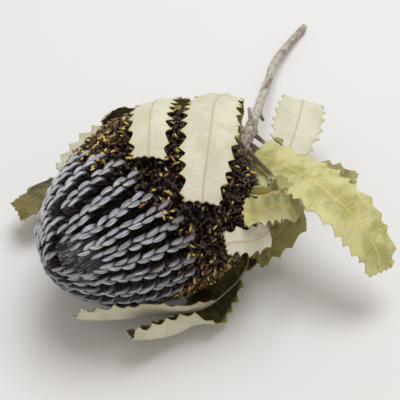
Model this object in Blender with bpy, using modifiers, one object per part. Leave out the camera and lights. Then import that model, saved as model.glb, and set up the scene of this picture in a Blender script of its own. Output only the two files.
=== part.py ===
"""Dried firewood banksia: a cut flower head with its stem and its whorl of toothed leaves.

The head lies on its side. Metres, +Z up. The origin is on the surface that the head lies on,
in the flat spot under its widest part. +X runs from the head's tip towards the cut stem.
"""
import math
import random
from dataclasses import dataclass

import bmesh
import bpy
import numpy as np
from mathutils import Vector

MM = 0.001
WELD = 0.00001

# The head: a turned body round an axis that rises slightly towards the tip.
HEAD_CENTRE = np.array([0.0, 0.0, 37.5])
AXIS_TILT = math.radians(2.0)
HEAD_RADIUS = 37.8
TIP_LENGTH = 52.0
TIP_POWER = 1.6
BASE_LENGTH = 42.0
BASE_POWER = 2.6
SLOPE_STEP = 0.5
PROFILE_SAMPLES = 400
TOWARDS_TIP = np.array([-math.cos(AXIS_TILT), 0.0, math.sin(AXIS_TILT)])
UP_FROM_AXIS = np.array([math.sin(AXIS_TILT), 0.0, math.cos(AXIS_TILT)])
ACROSS_AXIS = np.array([0.0, 1.0, 0.0])

# The woody core under the florets, and the cut between its grey part and its brown part.
CORE_DEPTH = 5.0
CORE_STEPS = 24
CORE_RINGS = 12
CORE_BASE_RADIUS = 6.0
CORE_BASE_RUN = -40.0
COLOUR_CHANGE_RUN = 9.0
COLOUR_CHANGE_LEAN = 0.09
TOUCHING_GAP = 0.3

# Grey florets: clubs in slanting rows that point to the tip.
GREY_ROWS = 22
GREY_PITCH = 9.4
GREY_MEAN_SLANT = math.radians(8.0)
GREY_SLANT_SWING = math.radians(17.0)
GREY_PARTING = math.radians(-43.0)
GREY_DRIFT_RADIUS = 6.0
GREY_REACH = 9.2
GREY_HALF_WIDTH = 2.5
GREY_SPACING = 2.3
GREY_NARROWEST = 0.62
GREY_TIGHTEST = 5.0
GREY_ROOT_DEPTH = 8.0
GREY_ROOT_BACK = 0.1
GREY_ROOT_SHARE = 0.6
GREY_BELLY_DEPTH = 1.6
GREY_BELLY_AT = 0.55
GREY_FIRST_RUN = -2.0
GREY_LAST_RUN = 50.0
POLE_ROOM = 1.0
POLE_REACH = 0.8
GREY_ROOM = 0.9
BARE_TIP = np.array([-47.0, -9.0, 49.0])
BARE_TIP_RADIUS = 7.5

# A floret's section is a triangle with a ridge outside; these are shares of its half width.
RIDGE_RISE = 0.7
RIDGE_BACK = 0.4

# Open florets: short curled straps that stand out all round the base.
OPEN_PITCH = 8.4
OPEN_HALF_WIDTH = 2.7
OPEN_ROOT_DEPTH = 8.5
OPEN_BELLY_DEPTH = 2.1
OPEN_BELLY_LEAN = 0.3
OPEN_ROOT_SHARE = 0.8
OPEN_LEAN = 2.6
OPEN_LEAN_BACK = 0.8
OPEN_STRAY_ANGLE = 0.06
OPEN_STRAY_RUN = 1.2
OPEN_INSETS = (0.1, 1.3)
TURN_BETWEEN_STRAPS = 2.4
OPEN_ROOM = 3.7
OPEN_LAST_RUN = -36.0
RESTING_ANGLE = math.radians(28.0)
RESTING_RUN = 12.0
RESTING_RING = 6.2
RESTING_TURN = 0.15
RESTING_PAD_RADII = (2.6, 1.8)
RESTING_PAD_SINK = 1.0
RESTING_PAD_DEPTH = 8.5
FLOOR_BOX = 120.0

# The cut stem, from the head's base to the end that lies on the surface.
STEM_ROUTE = [
    (40.6, 0.0, 36.08),
    (44.5, 0.1, 35.95),
    (49.0, 2.7, 36.2),
    (56.0, 7.5, 35.4),
    (67.0, 15.0, 31.5),
    (82.0, 26.0, 25.5),
    (98.0, 38.0, 19.5),
    (114.0, 50.0, 14.0),
    (130.0, 62.0, 9.5),
    (152.0, 73.0, 5.2),
    (175.0, 82.0, 2.0),
]
STEM_POINTS = 30
STEM_RADIUS_RUNS = [0.0, 6.0, 25.0, 40.0, 80.0, 170.0]
STEM_RADII = [4.2, 3.6, 2.8, 2.2, 2.0, 1.8]
OLD_STALKS = [(34.0, 20.0), (52.0, 205.0), (76.0, 340.0)]
OLD_STALK_LENGTH = 7.0
OLD_STALK_RADII = (1.2, 0.7)
OLD_STALK_LEAN = 0.5
ROD_SIDES = 6
OLD_STALK_ROOT = 1.6

# Leaves.
LEAF_THICKNESS = 0.8
STALK_HALF_WIDTH = 1.1
STALK_LIFT = 0.8
STALK_STEP = 9.0
TOOTH_PITCH = 6.2
TOOTH_DEPTH = 2.3
TOOTH_LEAN = 0.7
DEEPEST_TOOTH = 0.35
WIDEST_AT = 0.66
END_POWER = 2.2
LEAST_ROLL = 0.001
SPLINE_STEPS = 24
LEAF_SAMPLES = 200


@dataclass
class Leaf:
    """One toothed leaf: its stalk's place on the stem, its midrib's route and how it folds.

    Lengths are in millimetres and folds in degrees. A face is the direction that the upper
    side looks in, and the faces are spread evenly along the midrib. Left and right are those
    of a walker who goes from the stalk to the end on the upper side.
    """

    name: str
    station: float
    angle: float
    route: list
    faces: list
    half_width: float
    left_fold: tuple = (0.0, 0.0)
    right_fold: tuple = (0.0, 0.0)
    left_roll: float = 0.0
    stalk: float = 0.1
    end: float = 0.6
    swell: float = 0.75
    fold_between: tuple = (0.0, 1.0)
    strips: int = 1
    colour: tuple = (0.5, 0.5, 0.3)


PALE_UNDERSIDE = (0.62, 0.60, 0.46)
YELLOW_GREEN = (0.50, 0.45, 0.16)
OLIVE = (0.24, 0.22, 0.07)

LEAVES = [
    Leaf(
        "leaf_over_head_tip_side", 8, 62,
        [(53, 18, 39), (46, 27, 46), (33, 28.5, 55.5), (19, 20, 68.6), (6, 8, 76.8),
         (-3, -2, 77.8), (-10, -10, 76)],
        [(-0.6, -0.6, 0.2), (-0.5, -0.8, -0.3), (-0.3, -0.7, -0.7), (-0.1, -0.25, -1.0),
         (0.15, 0.3, -1.0)],
        8.7, left_fold=(8, 4), right_fold=(8, 4), end=0.75, colour=PALE_UNDERSIDE,
    ),
    Leaf(
        "leaf_over_head_stem_side", 6, 10,
        [(57, 12, 47), (53, 14, 56), (43, 8, 65.5), (31, 0, 72.5), (17, -13, 76),
         (7, -22, 73.5), (-1, -29, 68.5), (-4, -32, 65.5)],
        [(-1.0, -0.3, 0.2), (-0.8, -0.5, -0.4), (-0.5, -0.4, -0.9), (-0.1, 0.2, -1.0),
         (0.0, 0.6, -0.8)],
        11.2, left_fold=(6, 2), right_fold=(6, 2), end=0.7, colour=PALE_UNDERSIDE,
    ),
    Leaf(
        "leaf_long_right", 6, 290,
        [(51.1, -14.1, 41), (50.3, -24.5, 44), (49.6, -39.8, 46.5), (49.5, -47.3, 46),
         (50.5, -53.5, 44), (51.8, -59.6, 40), (52.8, -65.3, 34.5), (53.6, -70.2, 29),
         (52.2, -74.9, 21.5)],
        [(-0.2, -0.3, 1.0), (-0.25, -0.2, 1.0), (-0.25, -0.3, 1.0), (-0.2, -0.45, 1.0)],
        12.0, left_fold=(-12, -8), right_fold=(0, 4), stalk=0.03, end=0.5, swell=0.1,
        colour=YELLOW_GREEN,
    ),
    Leaf(
        "leaf_behind_stem", 23, 260,
        [(67, 0, 28), (71, -4, 28), (81, 1, 29), (94, 10, 29), (102, 16, 27)],
        [(0.1, 0.2, -1.0), (0.2, 0.3, -1.0)],
        12.0, end=0.85, swell=0.5, colour=PALE_UNDERSIDE,
    ),
    Leaf(
        "leaf_low_right", 20, 215,
        [(70.9, -3.7, 18), (81.5, -9.5, 13), (89.3, -18, 11), (94.7, -26.6, 10)],
        [(0.0, 0.0, 1.0)],
        7.0, left_fold=(15, 25), right_fold=(10, 20), end=0.6, colour=OLIVE,
    ),
    Leaf(
        "leaf_front_olive", 14, 250,
        [(48.5, -24.8, 30), (47, -30.1, 25), (44.2, -31, 20.5), (39.4, -30.3, 16),
         (33.7, -29.3, 12.5), (27.3, -28.3, 9.5)],
        [(0.0, -0.3, 1.0)],
        8.5, left_fold=(5, 5), right_fold=(10, 15), stalk=0.5, end=0.8, swell=0.5,
        colour=OLIVE,
    ),
    Leaf(
        "leaf_front_pale", 4, 265,
        [(44, -18.5, 33), (25, -38, 37.2), (16, -42, 41.2), (10, -43, 44.5), (4, -42, 48),
         (-2, -42, 51)],
        [(-0.3, 0.5, -0.6), (0.0, 0.9, -0.5), (0.0, 0.8, -0.6)],
        6.5, stalk=0.58, end=0.7, swell=0.6, colour=PALE_UNDERSIDE,
    ),
    Leaf(
        "leaf_front_yellow", 10, 262,
        [(43.7, -32.1, 34), (33, -34.4, 41.5), (22.3, -38, 49.5), (15.3, -38.5, 53), (10.9, -37.2, 54.5)],
        [(0.0, -0.4, 1.0), (0.0, -0.7, 0.75), (0.0, -0.7, 0.75)],
        7.2, left_fold=(5, 15), right_fold=(5, 15), stalk=0.3, end=0.8, swell=0.6,
        colour=YELLOW_GREEN,
    ),
    Leaf(
        "leaf_front_curled", 7, 310,
        [(37, -31, 48), (26, -37, 55.5), (20, -38, 58.5), (17, -35, 58.5)],
        [(0.0, 0.2, 1.0), (0.0, -0.5, 0.8)],
        5.5, left_fold=(30, 60), right_fold=(20, 60), stalk=0.45, end=0.7, swell=0.4, colour=OLIVE,
    ),
    Leaf(
        "leaf_under_front", 3, 222,
        [(41, -11, 25), (34, -19.5, 18.5), (20, -32, 12.6), (3, -35.5, 11), (-11, -35, 13),
         (-26, -27, 15.5), (-37, -21, 16.8), (-48, -15, 20), (-51, -13, 22)],
        [(-0.3, 0.7, 0.6), (0.05, 0.7, 0.7), (0.2, 0.7, 0.7)],
        11.0, left_fold=(15, 42), right_fold=(12, 12), stalk=0.5, end=0.5, swell=0.6,
        colour=PALE_UNDERSIDE,
    ),
    Leaf(
        "leaf_floor_front", 9, 228,
        [(45, -13, 20), (37, -19.5, 10.5), (29, -25, 5.5), (20, -21, 3.8), (9, -27, 3.4),
         (-1, -31, 3.4), (-9.6, -34.8, 5), (-19.3, -35.9, 7.5), (-29.6, -34.5, 11.5),
         (-39.2, -31.6, 16.5)],
        [(0.0, 0.0, 1.0), (0.0, 0.1, 1.0), (0.0, 0.2, 1.0)],
        11.5, left_fold=(-4, 62), right_fold=(-12, 5), left_roll=50, stalk=0.3, end=0.5, swell=0.6,
        fold_between=(0.55, 0.76), strips=2, colour=OLIVE,
    ),
    Leaf(
        "leaf_past_tip", 11, 140,
        [(49, 30, 17), (32, 50, 11), (10, 56, 11), (-8, 54, 15), (-17, 56, 16), (-28, 54, 17),
         (-34, 55, 16)],
        [(0.0, 0.0, 1.0), (0.0, -0.1, 1.0)],
        11.5, left_fold=(5, 0), right_fold=(10, -25), end=0.7, colour=OLIVE,
    ),
    Leaf(
        "leaf_behind_pale", 6, 112,
        [(52, 24, 28), (40, 42, 26), (21.4, 50.4, 30), (8.1, 51.5, 31), (-5.2, 47.7, 32),
         (-14.6, 43.7, 32)],
        [(0.0, 0.5, -0.8)],
        8.5, end=0.6, colour=PALE_UNDERSIDE,
    ),
    Leaf(
        "leaf_behind_dark", 13, 92,
        [(58, 26, 34), (49, 38, 37), (33, 43, 41), (20, 42.5, 47.5), (9.8, 40.8, 54.5), (4.5, 40.1, 53)],
        [(-0.6, -0.6, 0.0), (0.0, -0.9, -0.4)],
        8.0, left_fold=(5, 10), right_fold=(10, 20), end=0.6, colour=OLIVE,
    ),
    Leaf(
        "leaf_floor_behind", 16, 130,
        [(64, 28, 22), (60, 46, 8), (50, 60, 2), (38, 69, 1.2), (26, 72, 2)],
        [(0.0, 0.0, 1.0)],
        8.0, left_fold=(10, 15), right_fold=(10, 20), end=0.6, colour=YELLOW_GREEN,
    ),
    Leaf(
        "leaf_floor_right", 20, 170,
        [(68, 12, 18), (77, -2, 7), (84, -14, 2), (86, -28, 1.2), (84, -42, 3)],
        [(0.0, 0.0, 1.0)],
        8.0, left_fold=(5, 15), right_fold=(5, 25), end=0.6, colour=YELLOW_GREEN,
    ),
    Leaf(
        "leaf_under_behind", 4, 165,
        [(47, 10, 20), (40, 26, 7), (26, 38, 2), (8, 44, 1.0), (-12, 42, 1.2), (-28, 36, 3)],
        [(0.0, 0.0, 1.0)],
        9.0, left_fold=(0, 5), right_fold=(5, 20), end=0.6, colour=OLIVE,
    ),
]


def unit(vectors):
    """Vectors scaled to length one."""
    vectors = np.asarray(vectors, float)
    return vectors / np.linalg.norm(vectors, axis=-1, keepdims=True)


def smooth_route(points, count):
    """A Catmull-Rom curve through the points, read at even steps of its length."""
    points = np.asarray(points, float)
    before = 2 * points[0] - points[1]
    after = 2 * points[-1] - points[-2]
    around = np.vstack([before, points, after])
    t = np.linspace(0, 1, SPLINE_STEPS, endpoint=False)[:, None]
    pieces = []
    for i in range(len(points) - 1):
        a, b, c, d = around[i:i + 4]
        bend = (2 * a - 5 * b + 4 * c - d) * t**2 + (3 * b - a - 3 * c + d) * t**3
        pieces.append(0.5 * (2 * b + (c - a) * t + bend))
    curve = np.vstack(pieces + [points[-1:]])
    steps = np.linalg.norm(np.diff(curve, axis=0), axis=1)
    run = np.concatenate([[0.0], np.cumsum(steps)])
    at = np.linspace(0, run[-1], count)
    read = np.stack([np.interp(at, run, curve[:, k]) for k in range(3)], axis=1)
    return read, run[-1]


def new_material(name, colour, roughness):
    """A plain material of one colour."""
    material = bpy.data.materials.new(name)
    material.use_nodes = True
    shader = material.node_tree.nodes["Principled BSDF"]
    shader.inputs["Base Color"].default_value = (*colour, 1.0)
    shader.inputs["Roughness"].default_value = roughness
    shader.inputs["Metallic"].default_value = 0.0
    material.diffuse_color = (*colour, 1.0)
    return material


def new_object(name, mesh, collection, material=None):
    """An object that holds a mesh, in its collection and with its material."""
    made = bpy.data.objects.new(name, mesh)
    collection.objects.link(made)
    if material is not None:
        mesh.materials.append(material)
    return made


def mesh_from(name, points, faces):
    """A mesh from points in millimetres and its faces."""
    mesh = bpy.data.meshes.new(name)
    mesh.from_pydata([tuple(p) for p in np.asarray(points) * MM], [], faces)
    mesh.update()
    return mesh


def head_radius(run, inset=0.0):
    """The head's radius at a run along its axis from the widest part, plus towards the tip."""
    tip = TIP_LENGTH - inset
    base = BASE_LENGTH - inset
    if run >= 0:
        full = 1 - min(run / tip, 1.0) ** TIP_POWER
    else:
        full = 1 - min(-run / base, 1.0) ** BASE_POWER
    return (HEAD_RADIUS - inset) * math.sqrt(max(full, 0.0))


def around_axis(angle):
    """The direction out from the axis at an angle, 0 straight up and 90 degrees to +Y."""
    return math.cos(angle) * UP_FROM_AXIS + math.sin(angle) * ACROSS_AXIS


def head_frame(run, angle):
    """A point on the head's surface with the directions out of it, to the tip and across."""
    ahead = min(run + SLOPE_STEP, TIP_LENGTH)
    behind = max(run - SLOPE_STEP, -BASE_LENGTH)
    out = around_axis(angle)
    point = HEAD_CENTRE + run * TOWARDS_TIP + head_radius(run) * out
    rise = head_radius(ahead) - head_radius(behind)
    along = unit((ahead - behind) * TOWARDS_TIP + rise * out)
    across = np.cross(along, out)
    normal = unit(np.cross(across, along))
    return point, normal, along, unit(across)


def colour_plane():
    """A point and the normal of the plane where the grey florets end."""
    point = HEAD_CENTRE + COLOUR_CHANGE_RUN * TOWARDS_TIP
    normal = unit(TOWARDS_TIP - COLOUR_CHANGE_LEAN * UP_FROM_AXIS)
    return point, normal


def profile_runs(first, last, pitch):
    """Runs along the axis that lie a pitch apart along the head's curved profile."""
    fine = np.linspace(first, last, PROFILE_SAMPLES)
    radii = np.array([head_radius(run) for run in fine])
    arc = np.concatenate([[0.0], np.cumsum(np.hypot(np.diff(fine), np.diff(radii)))])
    count = int(arc[-1] / pitch) + 1
    return [float(np.interp(k * pitch, arc, fine)) for k in range(count)]


def make_core(name, collection, side):
    """The core's part on one side of the colour change: turned, then cut flat and closed."""
    runs = np.linspace(TIP_LENGTH - CORE_DEPTH, CORE_BASE_RUN, CORE_RINGS)
    points = []
    for run in runs[:-1]:
        points.append((head_radius(run, CORE_DEPTH), 0.0, run))
    points.append((CORE_BASE_RADIUS, 0.0, CORE_BASE_RUN))
    points.append((0.0, 0.0, CORE_BASE_RUN))
    edges = [(i, i + 1) for i in range(len(points) - 1)]
    mesh = bpy.data.meshes.new(name)
    mesh.from_pydata([tuple(np.array(p) * MM) for p in points], edges, [])
    turned = new_object(name, mesh, collection)
    turned.location = Vector(HEAD_CENTRE * MM)
    turned.rotation_euler = (0.0, AXIS_TILT - math.pi / 2, 0.0)
    screw = turned.modifiers.new("turn", "SCREW")
    screw.steps = CORE_STEPS
    screw.render_steps = CORE_STEPS
    screw.use_merge_vertices = True
    screw.merge_threshold = 0.0001
    bake(turned)
    plane_point, plane_normal = colour_plane()
    gap = side * plane_normal * TOUCHING_GAP / 2
    form = bmesh.new()
    form.from_mesh(turned.data)
    cut = bmesh.ops.bisect_plane(
        form,
        geom=form.verts[:] + form.edges[:] + form.faces[:],
        plane_co=Vector((plane_point + gap) * MM),
        plane_no=Vector(plane_normal * side),
        clear_inner=True,
    )
    rim = [e for e in cut["geom_cut"] if isinstance(e, bmesh.types.BMEdge)]
    bmesh.ops.edgenet_fill(form, edges=rim)
    bmesh.ops.recalc_face_normals(form, faces=form.faces[:])
    form.to_mesh(turned.data)
    form.free()
    return turned


def bake(made):
    """Applies an object's modifiers and its place, so that its mesh stands alone."""
    bpy.context.view_layer.update()
    graph = bpy.context.evaluated_depsgraph_get()
    final = bpy.data.meshes.new_from_object(made.evaluated_get(graph))
    final.transform(made.matrix_world)
    made.modifiers.clear()
    made.data = final
    made.location = (0.0, 0.0, 0.0)
    made.rotation_euler = (0.0, 0.0, 0.0)


def fuse(made, pieces, material, floor=None):
    """Joins a collection's objects into one body with an object, and removes them."""
    join = made.modifiers.new("join", "BOOLEAN")
    join.operation = "UNION"
    join.operand_type = "COLLECTION"
    join.collection = pieces
    join.solver = "EXACT"
    if floor is not None:
        flat = made.modifiers.new("flat", "BOOLEAN")
        flat.operation = "DIFFERENCE"
        flat.object = floor
        flat.solver = "EXACT"
    bake(made)
    for piece in list(pieces.objects):
        bpy.data.objects.remove(piece)
    bpy.data.collections.remove(pieces)
    made.data.materials.clear()
    made.data.materials.append(material)


def spike(name, collection, root, belly, tip, root_width, belly_width, across):
    """A three-sided club from a root to a pointed tip, widest at its belly, with a ridge."""

    def ring(centre, width, heading):
        ridge = unit(np.cross(across, heading))
        back = centre - RIDGE_BACK * width * ridge
        return [back + width * across, centre + RIDGE_RISE * width * ridge, back - width * across]

    points = ring(root, root_width, belly - root) + ring(belly, belly_width, tip - root) + [tip]
    faces = [(0, 2, 1)]
    for k in range(3):
        after = (k + 1) % 3
        faces.append((k, after, 3 + after))
        faces.append((k, 3 + after, 3 + k))
        faces.append((3 + k, 3 + after, 6))
    mesh = mesh_from(name, points, faces)
    form = bmesh.new()
    form.from_mesh(mesh)
    bmesh.ops.recalc_face_normals(form, faces=form.faces[:])
    form.to_mesh(mesh)
    form.free()
    return new_object(name, mesh, collection)


def past_colour_change(point):
    """How far a point lies on the grey side of the colour change."""
    plane_point, plane_normal = colour_plane()
    return float(np.dot(point - plane_point, plane_normal))


def row_slant(angle):
    """How far the rows of grey florets lean from the axis at an angle round the head."""
    return GREY_MEAN_SLANT + GREY_SLANT_SWING * math.sin(angle - GREY_PARTING)


def followed(angle, runs, step):
    """The angle that a row has come to after the runs it passes, each a step along the profile."""
    for run in runs:
        radius = max(head_radius(run), GREY_DRIFT_RADIUS)
        angle += math.tan(row_slant(angle)) * step / radius
    return angle


def grey_club(run, angle, room):
    """Root, belly and tip of a grey floret, with its sideways direction and its scale."""
    point, normal, along, across = head_frame(run, angle)
    slant = row_slant(angle)
    heading = unit(along + math.tan(slant) * across)
    scale = min(1.0, max(GREY_NARROWEST, room / (GREY_SPACING * GREY_HALF_WIDTH)))
    reach = GREY_REACH * scale
    tip_run = run + reach * float(np.dot(heading, TOWARDS_TIP))
    if tip_run < TIP_LENGTH - POLE_ROOM:
        turn = math.atan2(reach * math.sin(slant), head_radius(tip_run))
        tip = head_frame(tip_run, angle + turn)[0]
    else:
        tip = point + POLE_REACH * reach * heading - POLE_REACH * normal
    root = point - GREY_ROOT_DEPTH * scale * normal - GREY_ROOT_BACK * reach * heading
    belly = point + GREY_BELLY_AT * (tip - point) - GREY_BELLY_DEPTH * scale * normal
    return root, belly, tip, unit(np.cross(heading, normal)), scale


def make_grey_florets(collection, material):
    """The unopened florets: slanting rows of clubs that point to the tip, on their core."""
    core = make_core("grey_florets", collection, 1)
    pieces = bpy.data.collections.new("grey_clubs")
    bpy.context.scene.collection.children.link(pieces)
    step = GREY_PITCH / 2
    apart = 2 * math.pi / GREY_ROWS
    runs = profile_runs(GREY_FIRST_RUN, GREY_LAST_RUN, step)
    for level, run in enumerate(runs):
        for row in range(GREY_ROWS):
            start = apart * (row + 0.5 * (level % 2))
            angle = followed(start, runs[:level], step)
            room = head_radius(run) * (followed(start + apart, runs[:level], step) - angle)
            thin_by = math.ceil(GREY_TIGHTEST / room)
            if row % thin_by:
                continue
            club = grey_club(run, angle, room * thin_by)
            lack = GREY_ROOM - min(past_colour_change(point) for point in club[:3])
            if lack > step:
                continue
            if lack > 0:
                club = grey_club(run + lack, angle, room * thin_by)
            root, belly, tip, sideways, scale = club
            if np.linalg.norm(belly - BARE_TIP) < BARE_TIP_RADIUS:
                continue
            widest = GREY_HALF_WIDTH * scale
            spike("club", pieces, root, belly, tip, GREY_ROOT_SHARE * widest, widest, sideways)
    fuse(core, pieces, material)
    return core


def make_open_florets(collection, cutters, material, draw):
    """The open florets: curled straps that lean every way, with a flat spot to lie on."""
    core = make_core("open_florets", collection, -1)
    pieces = bpy.data.collections.new("open_straps")
    bpy.context.scene.collection.children.link(pieces)
    last = COLOUR_CHANGE_RUN + OPEN_PITCH / 2
    for level, run in enumerate(profile_runs(OPEN_LAST_RUN, last, OPEN_PITCH)):
        count = round(2 * math.pi * head_radius(run) / OPEN_PITCH)
        for place in range(count):
            angle = 2 * math.pi * (place + 0.5 * (level % 2)) / count
            angle += draw.uniform(-OPEN_STRAY_ANGLE, OPEN_STRAY_ANGLE)
            shifted = run + draw.uniform(-OPEN_STRAY_RUN, OPEN_STRAY_RUN)
            sway = draw.uniform(-OPEN_LEAN, OPEN_LEAN)
            nod = draw.uniform(-OPEN_LEAN_BACK, OPEN_LEAN)
            inset = draw.uniform(*OPEN_INSETS)
            point, normal, along, across = head_frame(shifted, angle)
            lack = OPEN_ROOM + past_colour_change(point + nod * along)
            if lack > OPEN_PITCH / 2:
                continue
            if lack > 0:
                shifted -= lack
                point, normal, along, across = head_frame(shifted, angle)
            from_below = abs(math.remainder(angle - math.pi, 2 * math.pi))
            if from_below < RESTING_ANGLE and abs(shifted) < RESTING_RUN:
                continue
            turn = place * TURN_BETWEEN_STRAPS
            turned = unit(math.cos(turn) * along + math.sin(turn) * across)
            lean = sway * across + nod * along
            tip = point + lean - inset * normal
            belly = point + OPEN_BELLY_LEAN * lean - (inset + OPEN_BELLY_DEPTH) * normal
            root = point - OPEN_ROOT_DEPTH * normal
            widest = OPEN_HALF_WIDTH
            spike("strap", pieces, root, belly, tip, OPEN_ROOT_SHARE * widest, widest, turned)
    add_resting_pads(pieces)
    floor_mesh = bpy.data.meshes.new("floor_cut")
    form = bmesh.new()
    bmesh.ops.create_cube(form, size=FLOOR_BOX * MM)
    bmesh.ops.translate(form, verts=form.verts[:], vec=(0.0, 0.0, -FLOOR_BOX / 2 * MM))
    form.to_mesh(floor_mesh)
    form.free()
    floor = new_object("floor_cut", floor_mesh, cutters)
    floor.hide_render = True
    floor.display_type = "WIRE"
    fuse(core, pieces, material, floor)
    return core


def add_resting_pads(pieces):
    """The florets under the head, pressed flat: one at the origin and a ring round it."""
    places = [(0.0, 0.0)]
    for k in range(6):
        turn = math.pi * (k / 3 + RESTING_TURN)
        places.append((RESTING_RING * math.cos(turn), RESTING_RING * math.sin(turn)))
    for x, y in places:
        if past_colour_change(np.array([x, y, 0.0])) > -OPEN_ROOM:
            continue
        rod("pad", pieces, (x, y, -RESTING_PAD_SINK), (0, 0, 1), RESTING_PAD_DEPTH, *RESTING_PAD_RADII)


def stem_route():
    """The stem's centre line with its radius at each point."""
    points, length = smooth_route(STEM_ROUTE, STEM_POINTS)
    run = np.linspace(0, length, STEM_POINTS)
    return points, np.interp(run, STEM_RADIUS_RUNS, STEM_RADII), length


def beside_stem(station, angle, lift):
    """A point beside the stem, 0 degrees above it and 90 on its far side, the way out to it,
    and the stem's own way there."""
    points, radii, length = stem_route()
    run = np.linspace(0, length, STEM_POINTS)
    centre = np.array([np.interp(station, run, points[:, k]) for k in range(3)])
    ahead = np.array([np.interp(station + 2.0, run, points[:, k]) for k in range(3)])
    heading = unit(ahead - centre)
    far = unit(np.cross([0.0, 0.0, 1.0], heading))
    up = np.cross(heading, far)
    out = math.cos(math.radians(angle)) * up + math.sin(math.radians(angle)) * far
    radius = float(np.interp(station, run, radii))
    return centre + (radius + lift) * out, out, heading


def rod(name, collection, start, way, length, thick, thin):
    """A short tapered rod from a start point along a way."""
    mesh = bpy.data.meshes.new(name)
    form = bmesh.new()
    bmesh.ops.create_cone(
        form, cap_ends=True, segments=ROD_SIDES, radius1=thick * MM, radius2=thin * MM,
        depth=length * MM,
    )
    bmesh.ops.translate(form, verts=form.verts[:], vec=(0.0, 0.0, length / 2 * MM))
    turn = Vector((0.0, 0.0, 1.0)).rotation_difference(Vector(unit(way))).to_matrix()
    bmesh.ops.rotate(form, verts=form.verts[:], matrix=turn)
    bmesh.ops.translate(form, verts=form.verts[:], vec=Vector(start) * MM)
    form.to_mesh(mesh)
    form.free()
    return new_object(name, mesh, collection)


def stem_mesh():
    """The stem as a bevelled line, made a closed mesh."""
    points, radii, _ = stem_route()
    curve = bpy.data.curves.new("stem_line", "CURVE")
    curve.dimensions = "3D"
    curve.bevel_depth = MM
    curve.bevel_resolution = 2
    curve.use_fill_caps = True
    spline = curve.splines.new("POLY")
    spline.points.add(len(points) - 1)
    for place, point, radius in zip(spline.points, points, radii):
        place.co = (*(point * MM), 1.0)
        place.radius = float(radius)
    line = bpy.data.objects.new("stem_line", curve)
    bpy.context.scene.collection.objects.link(line)
    bpy.context.view_layer.update()
    graph = bpy.context.evaluated_depsgraph_get()
    mesh = bpy.data.meshes.new_from_object(line.evaluated_get(graph))
    form = bmesh.new()
    form.from_mesh(mesh)
    bmesh.ops.remove_doubles(form, verts=form.verts[:], dist=WELD)
    bmesh.ops.recalc_face_normals(form, faces=form.faces[:])
    form.to_mesh(mesh)
    form.free()
    bpy.data.objects.remove(line)
    return mesh


def make_stem(collection, material):
    """The cut stem, with the stubs of old leaf stalks that grew with it."""
    stem = new_object("stem", stem_mesh(), collection)
    stubs = bpy.data.collections.new("old_stalks")
    bpy.context.scene.collection.children.link(stubs)
    for station, angle in OLD_STALKS:
        start, out, heading = beside_stem(station, angle, -OLD_STALK_ROOT)
        way = out + OLD_STALK_LEAN * heading
        rod("stub", stubs, start, way, OLD_STALK_LENGTH, *OLD_STALK_RADII)
    fuse(stem, stubs, material)
    return stem


def half_width(leaf, u):
    """Half of a leaf's width at a share of its length, at the tips of its teeth."""
    rise = np.clip((u - leaf.stalk) / (WIDEST_AT - leaf.stalk), 0, 1)
    fall = np.clip((u - WIDEST_AT) / (1 - WIDEST_AT), 0, 1)
    swelling = np.sin(rise * math.pi / 2) ** leaf.swell
    closing = 1 - (1 - leaf.end) * fall ** END_POWER
    blade = leaf.half_width * np.where(u < WIDEST_AT, swelling, closing)
    return np.maximum(blade, STALK_HALF_WIDTH)


def leaf_frames(leaf):
    """A leaf's midrib, the ways of its upper side and its right half, and its length."""
    start = beside_stem(leaf.station, leaf.angle, STALK_LIFT)[0]
    midrib, length = smooth_route([tuple(start)] + leaf.route, LEAF_SAMPLES + 1)
    u = np.linspace(0, 1, LEAF_SAMPLES + 1)
    spread = np.linspace(0, 1, len(leaf.faces))
    faces = np.asarray(leaf.faces, float)
    upper = np.stack([np.interp(u, spread, faces[:, k]) for k in range(3)], axis=1)
    heading = unit(np.gradient(midrib, axis=0))
    upper = unit(upper - (upper * heading).sum(axis=1, keepdims=True) * heading)
    return u, midrib, upper, np.cross(heading, upper), length


def leaf_points(leaf, frames, u, v):
    """Points of the blade at a share u of its length and shares v of its width, -1 on the
    left margin, 0 on the midrib and 1 on the right margin.

    Each half is an arc that leaves the midrib at the fold's angle and turns by the roll.
    """
    samples, midrib, upper, right, _ = frames

    def read(table):
        return np.array([np.interp(u, samples, table[:, k]) for k in range(3)])

    left = v < 0
    blade = np.clip((u - leaf.stalk) / (1 - leaf.stalk), 0, 1)
    start, stop = leaf.fold_between
    share = np.clip((blade - start) / (stop - start), 0, 1)
    share = share * share * (3 - 2 * share)
    first = np.where(left, leaf.left_fold[0], leaf.right_fold[0])
    last = np.where(left, leaf.left_fold[1], leaf.right_fold[1])
    fold = np.radians(first + (last - first) * share)
    roll = np.radians(np.where(left, leaf.left_roll * share, 0.0)) + LEAST_ROLL
    turned = fold + roll * np.abs(v)
    sideways = (np.sin(turned) - np.sin(fold)) / roll * np.where(left, -1.0, 1.0)
    lift = (np.cos(fold) - np.cos(turned)) / roll
    width = half_width(leaf, u)
    across = np.outer(width * sideways, unit(read(right)))
    return read(midrib) + across + np.outer(width * lift, unit(read(upper)))


def leaf_stations(leaf, length):
    """Shares of the length where the margin turns, and whether a tooth's tip is there."""
    steps = max(2, round(leaf.stalk * length / STALK_STEP))
    stations = [(leaf.stalk * k / steps, True) for k in range(steps + 1)]
    blade = length * (1 - leaf.stalk)
    teeth = max(3, round(blade / TOOTH_PITCH))
    pitch = (1 - leaf.stalk) / teeth
    for k in range(teeth):
        start = leaf.stalk + k * pitch
        if k > 0:
            stations.append((start, False))
        if k < teeth - 1:
            stations.append((start + TOOTH_LEAN * pitch, True))
    stations.append((1.0, True))
    return stations


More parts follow.
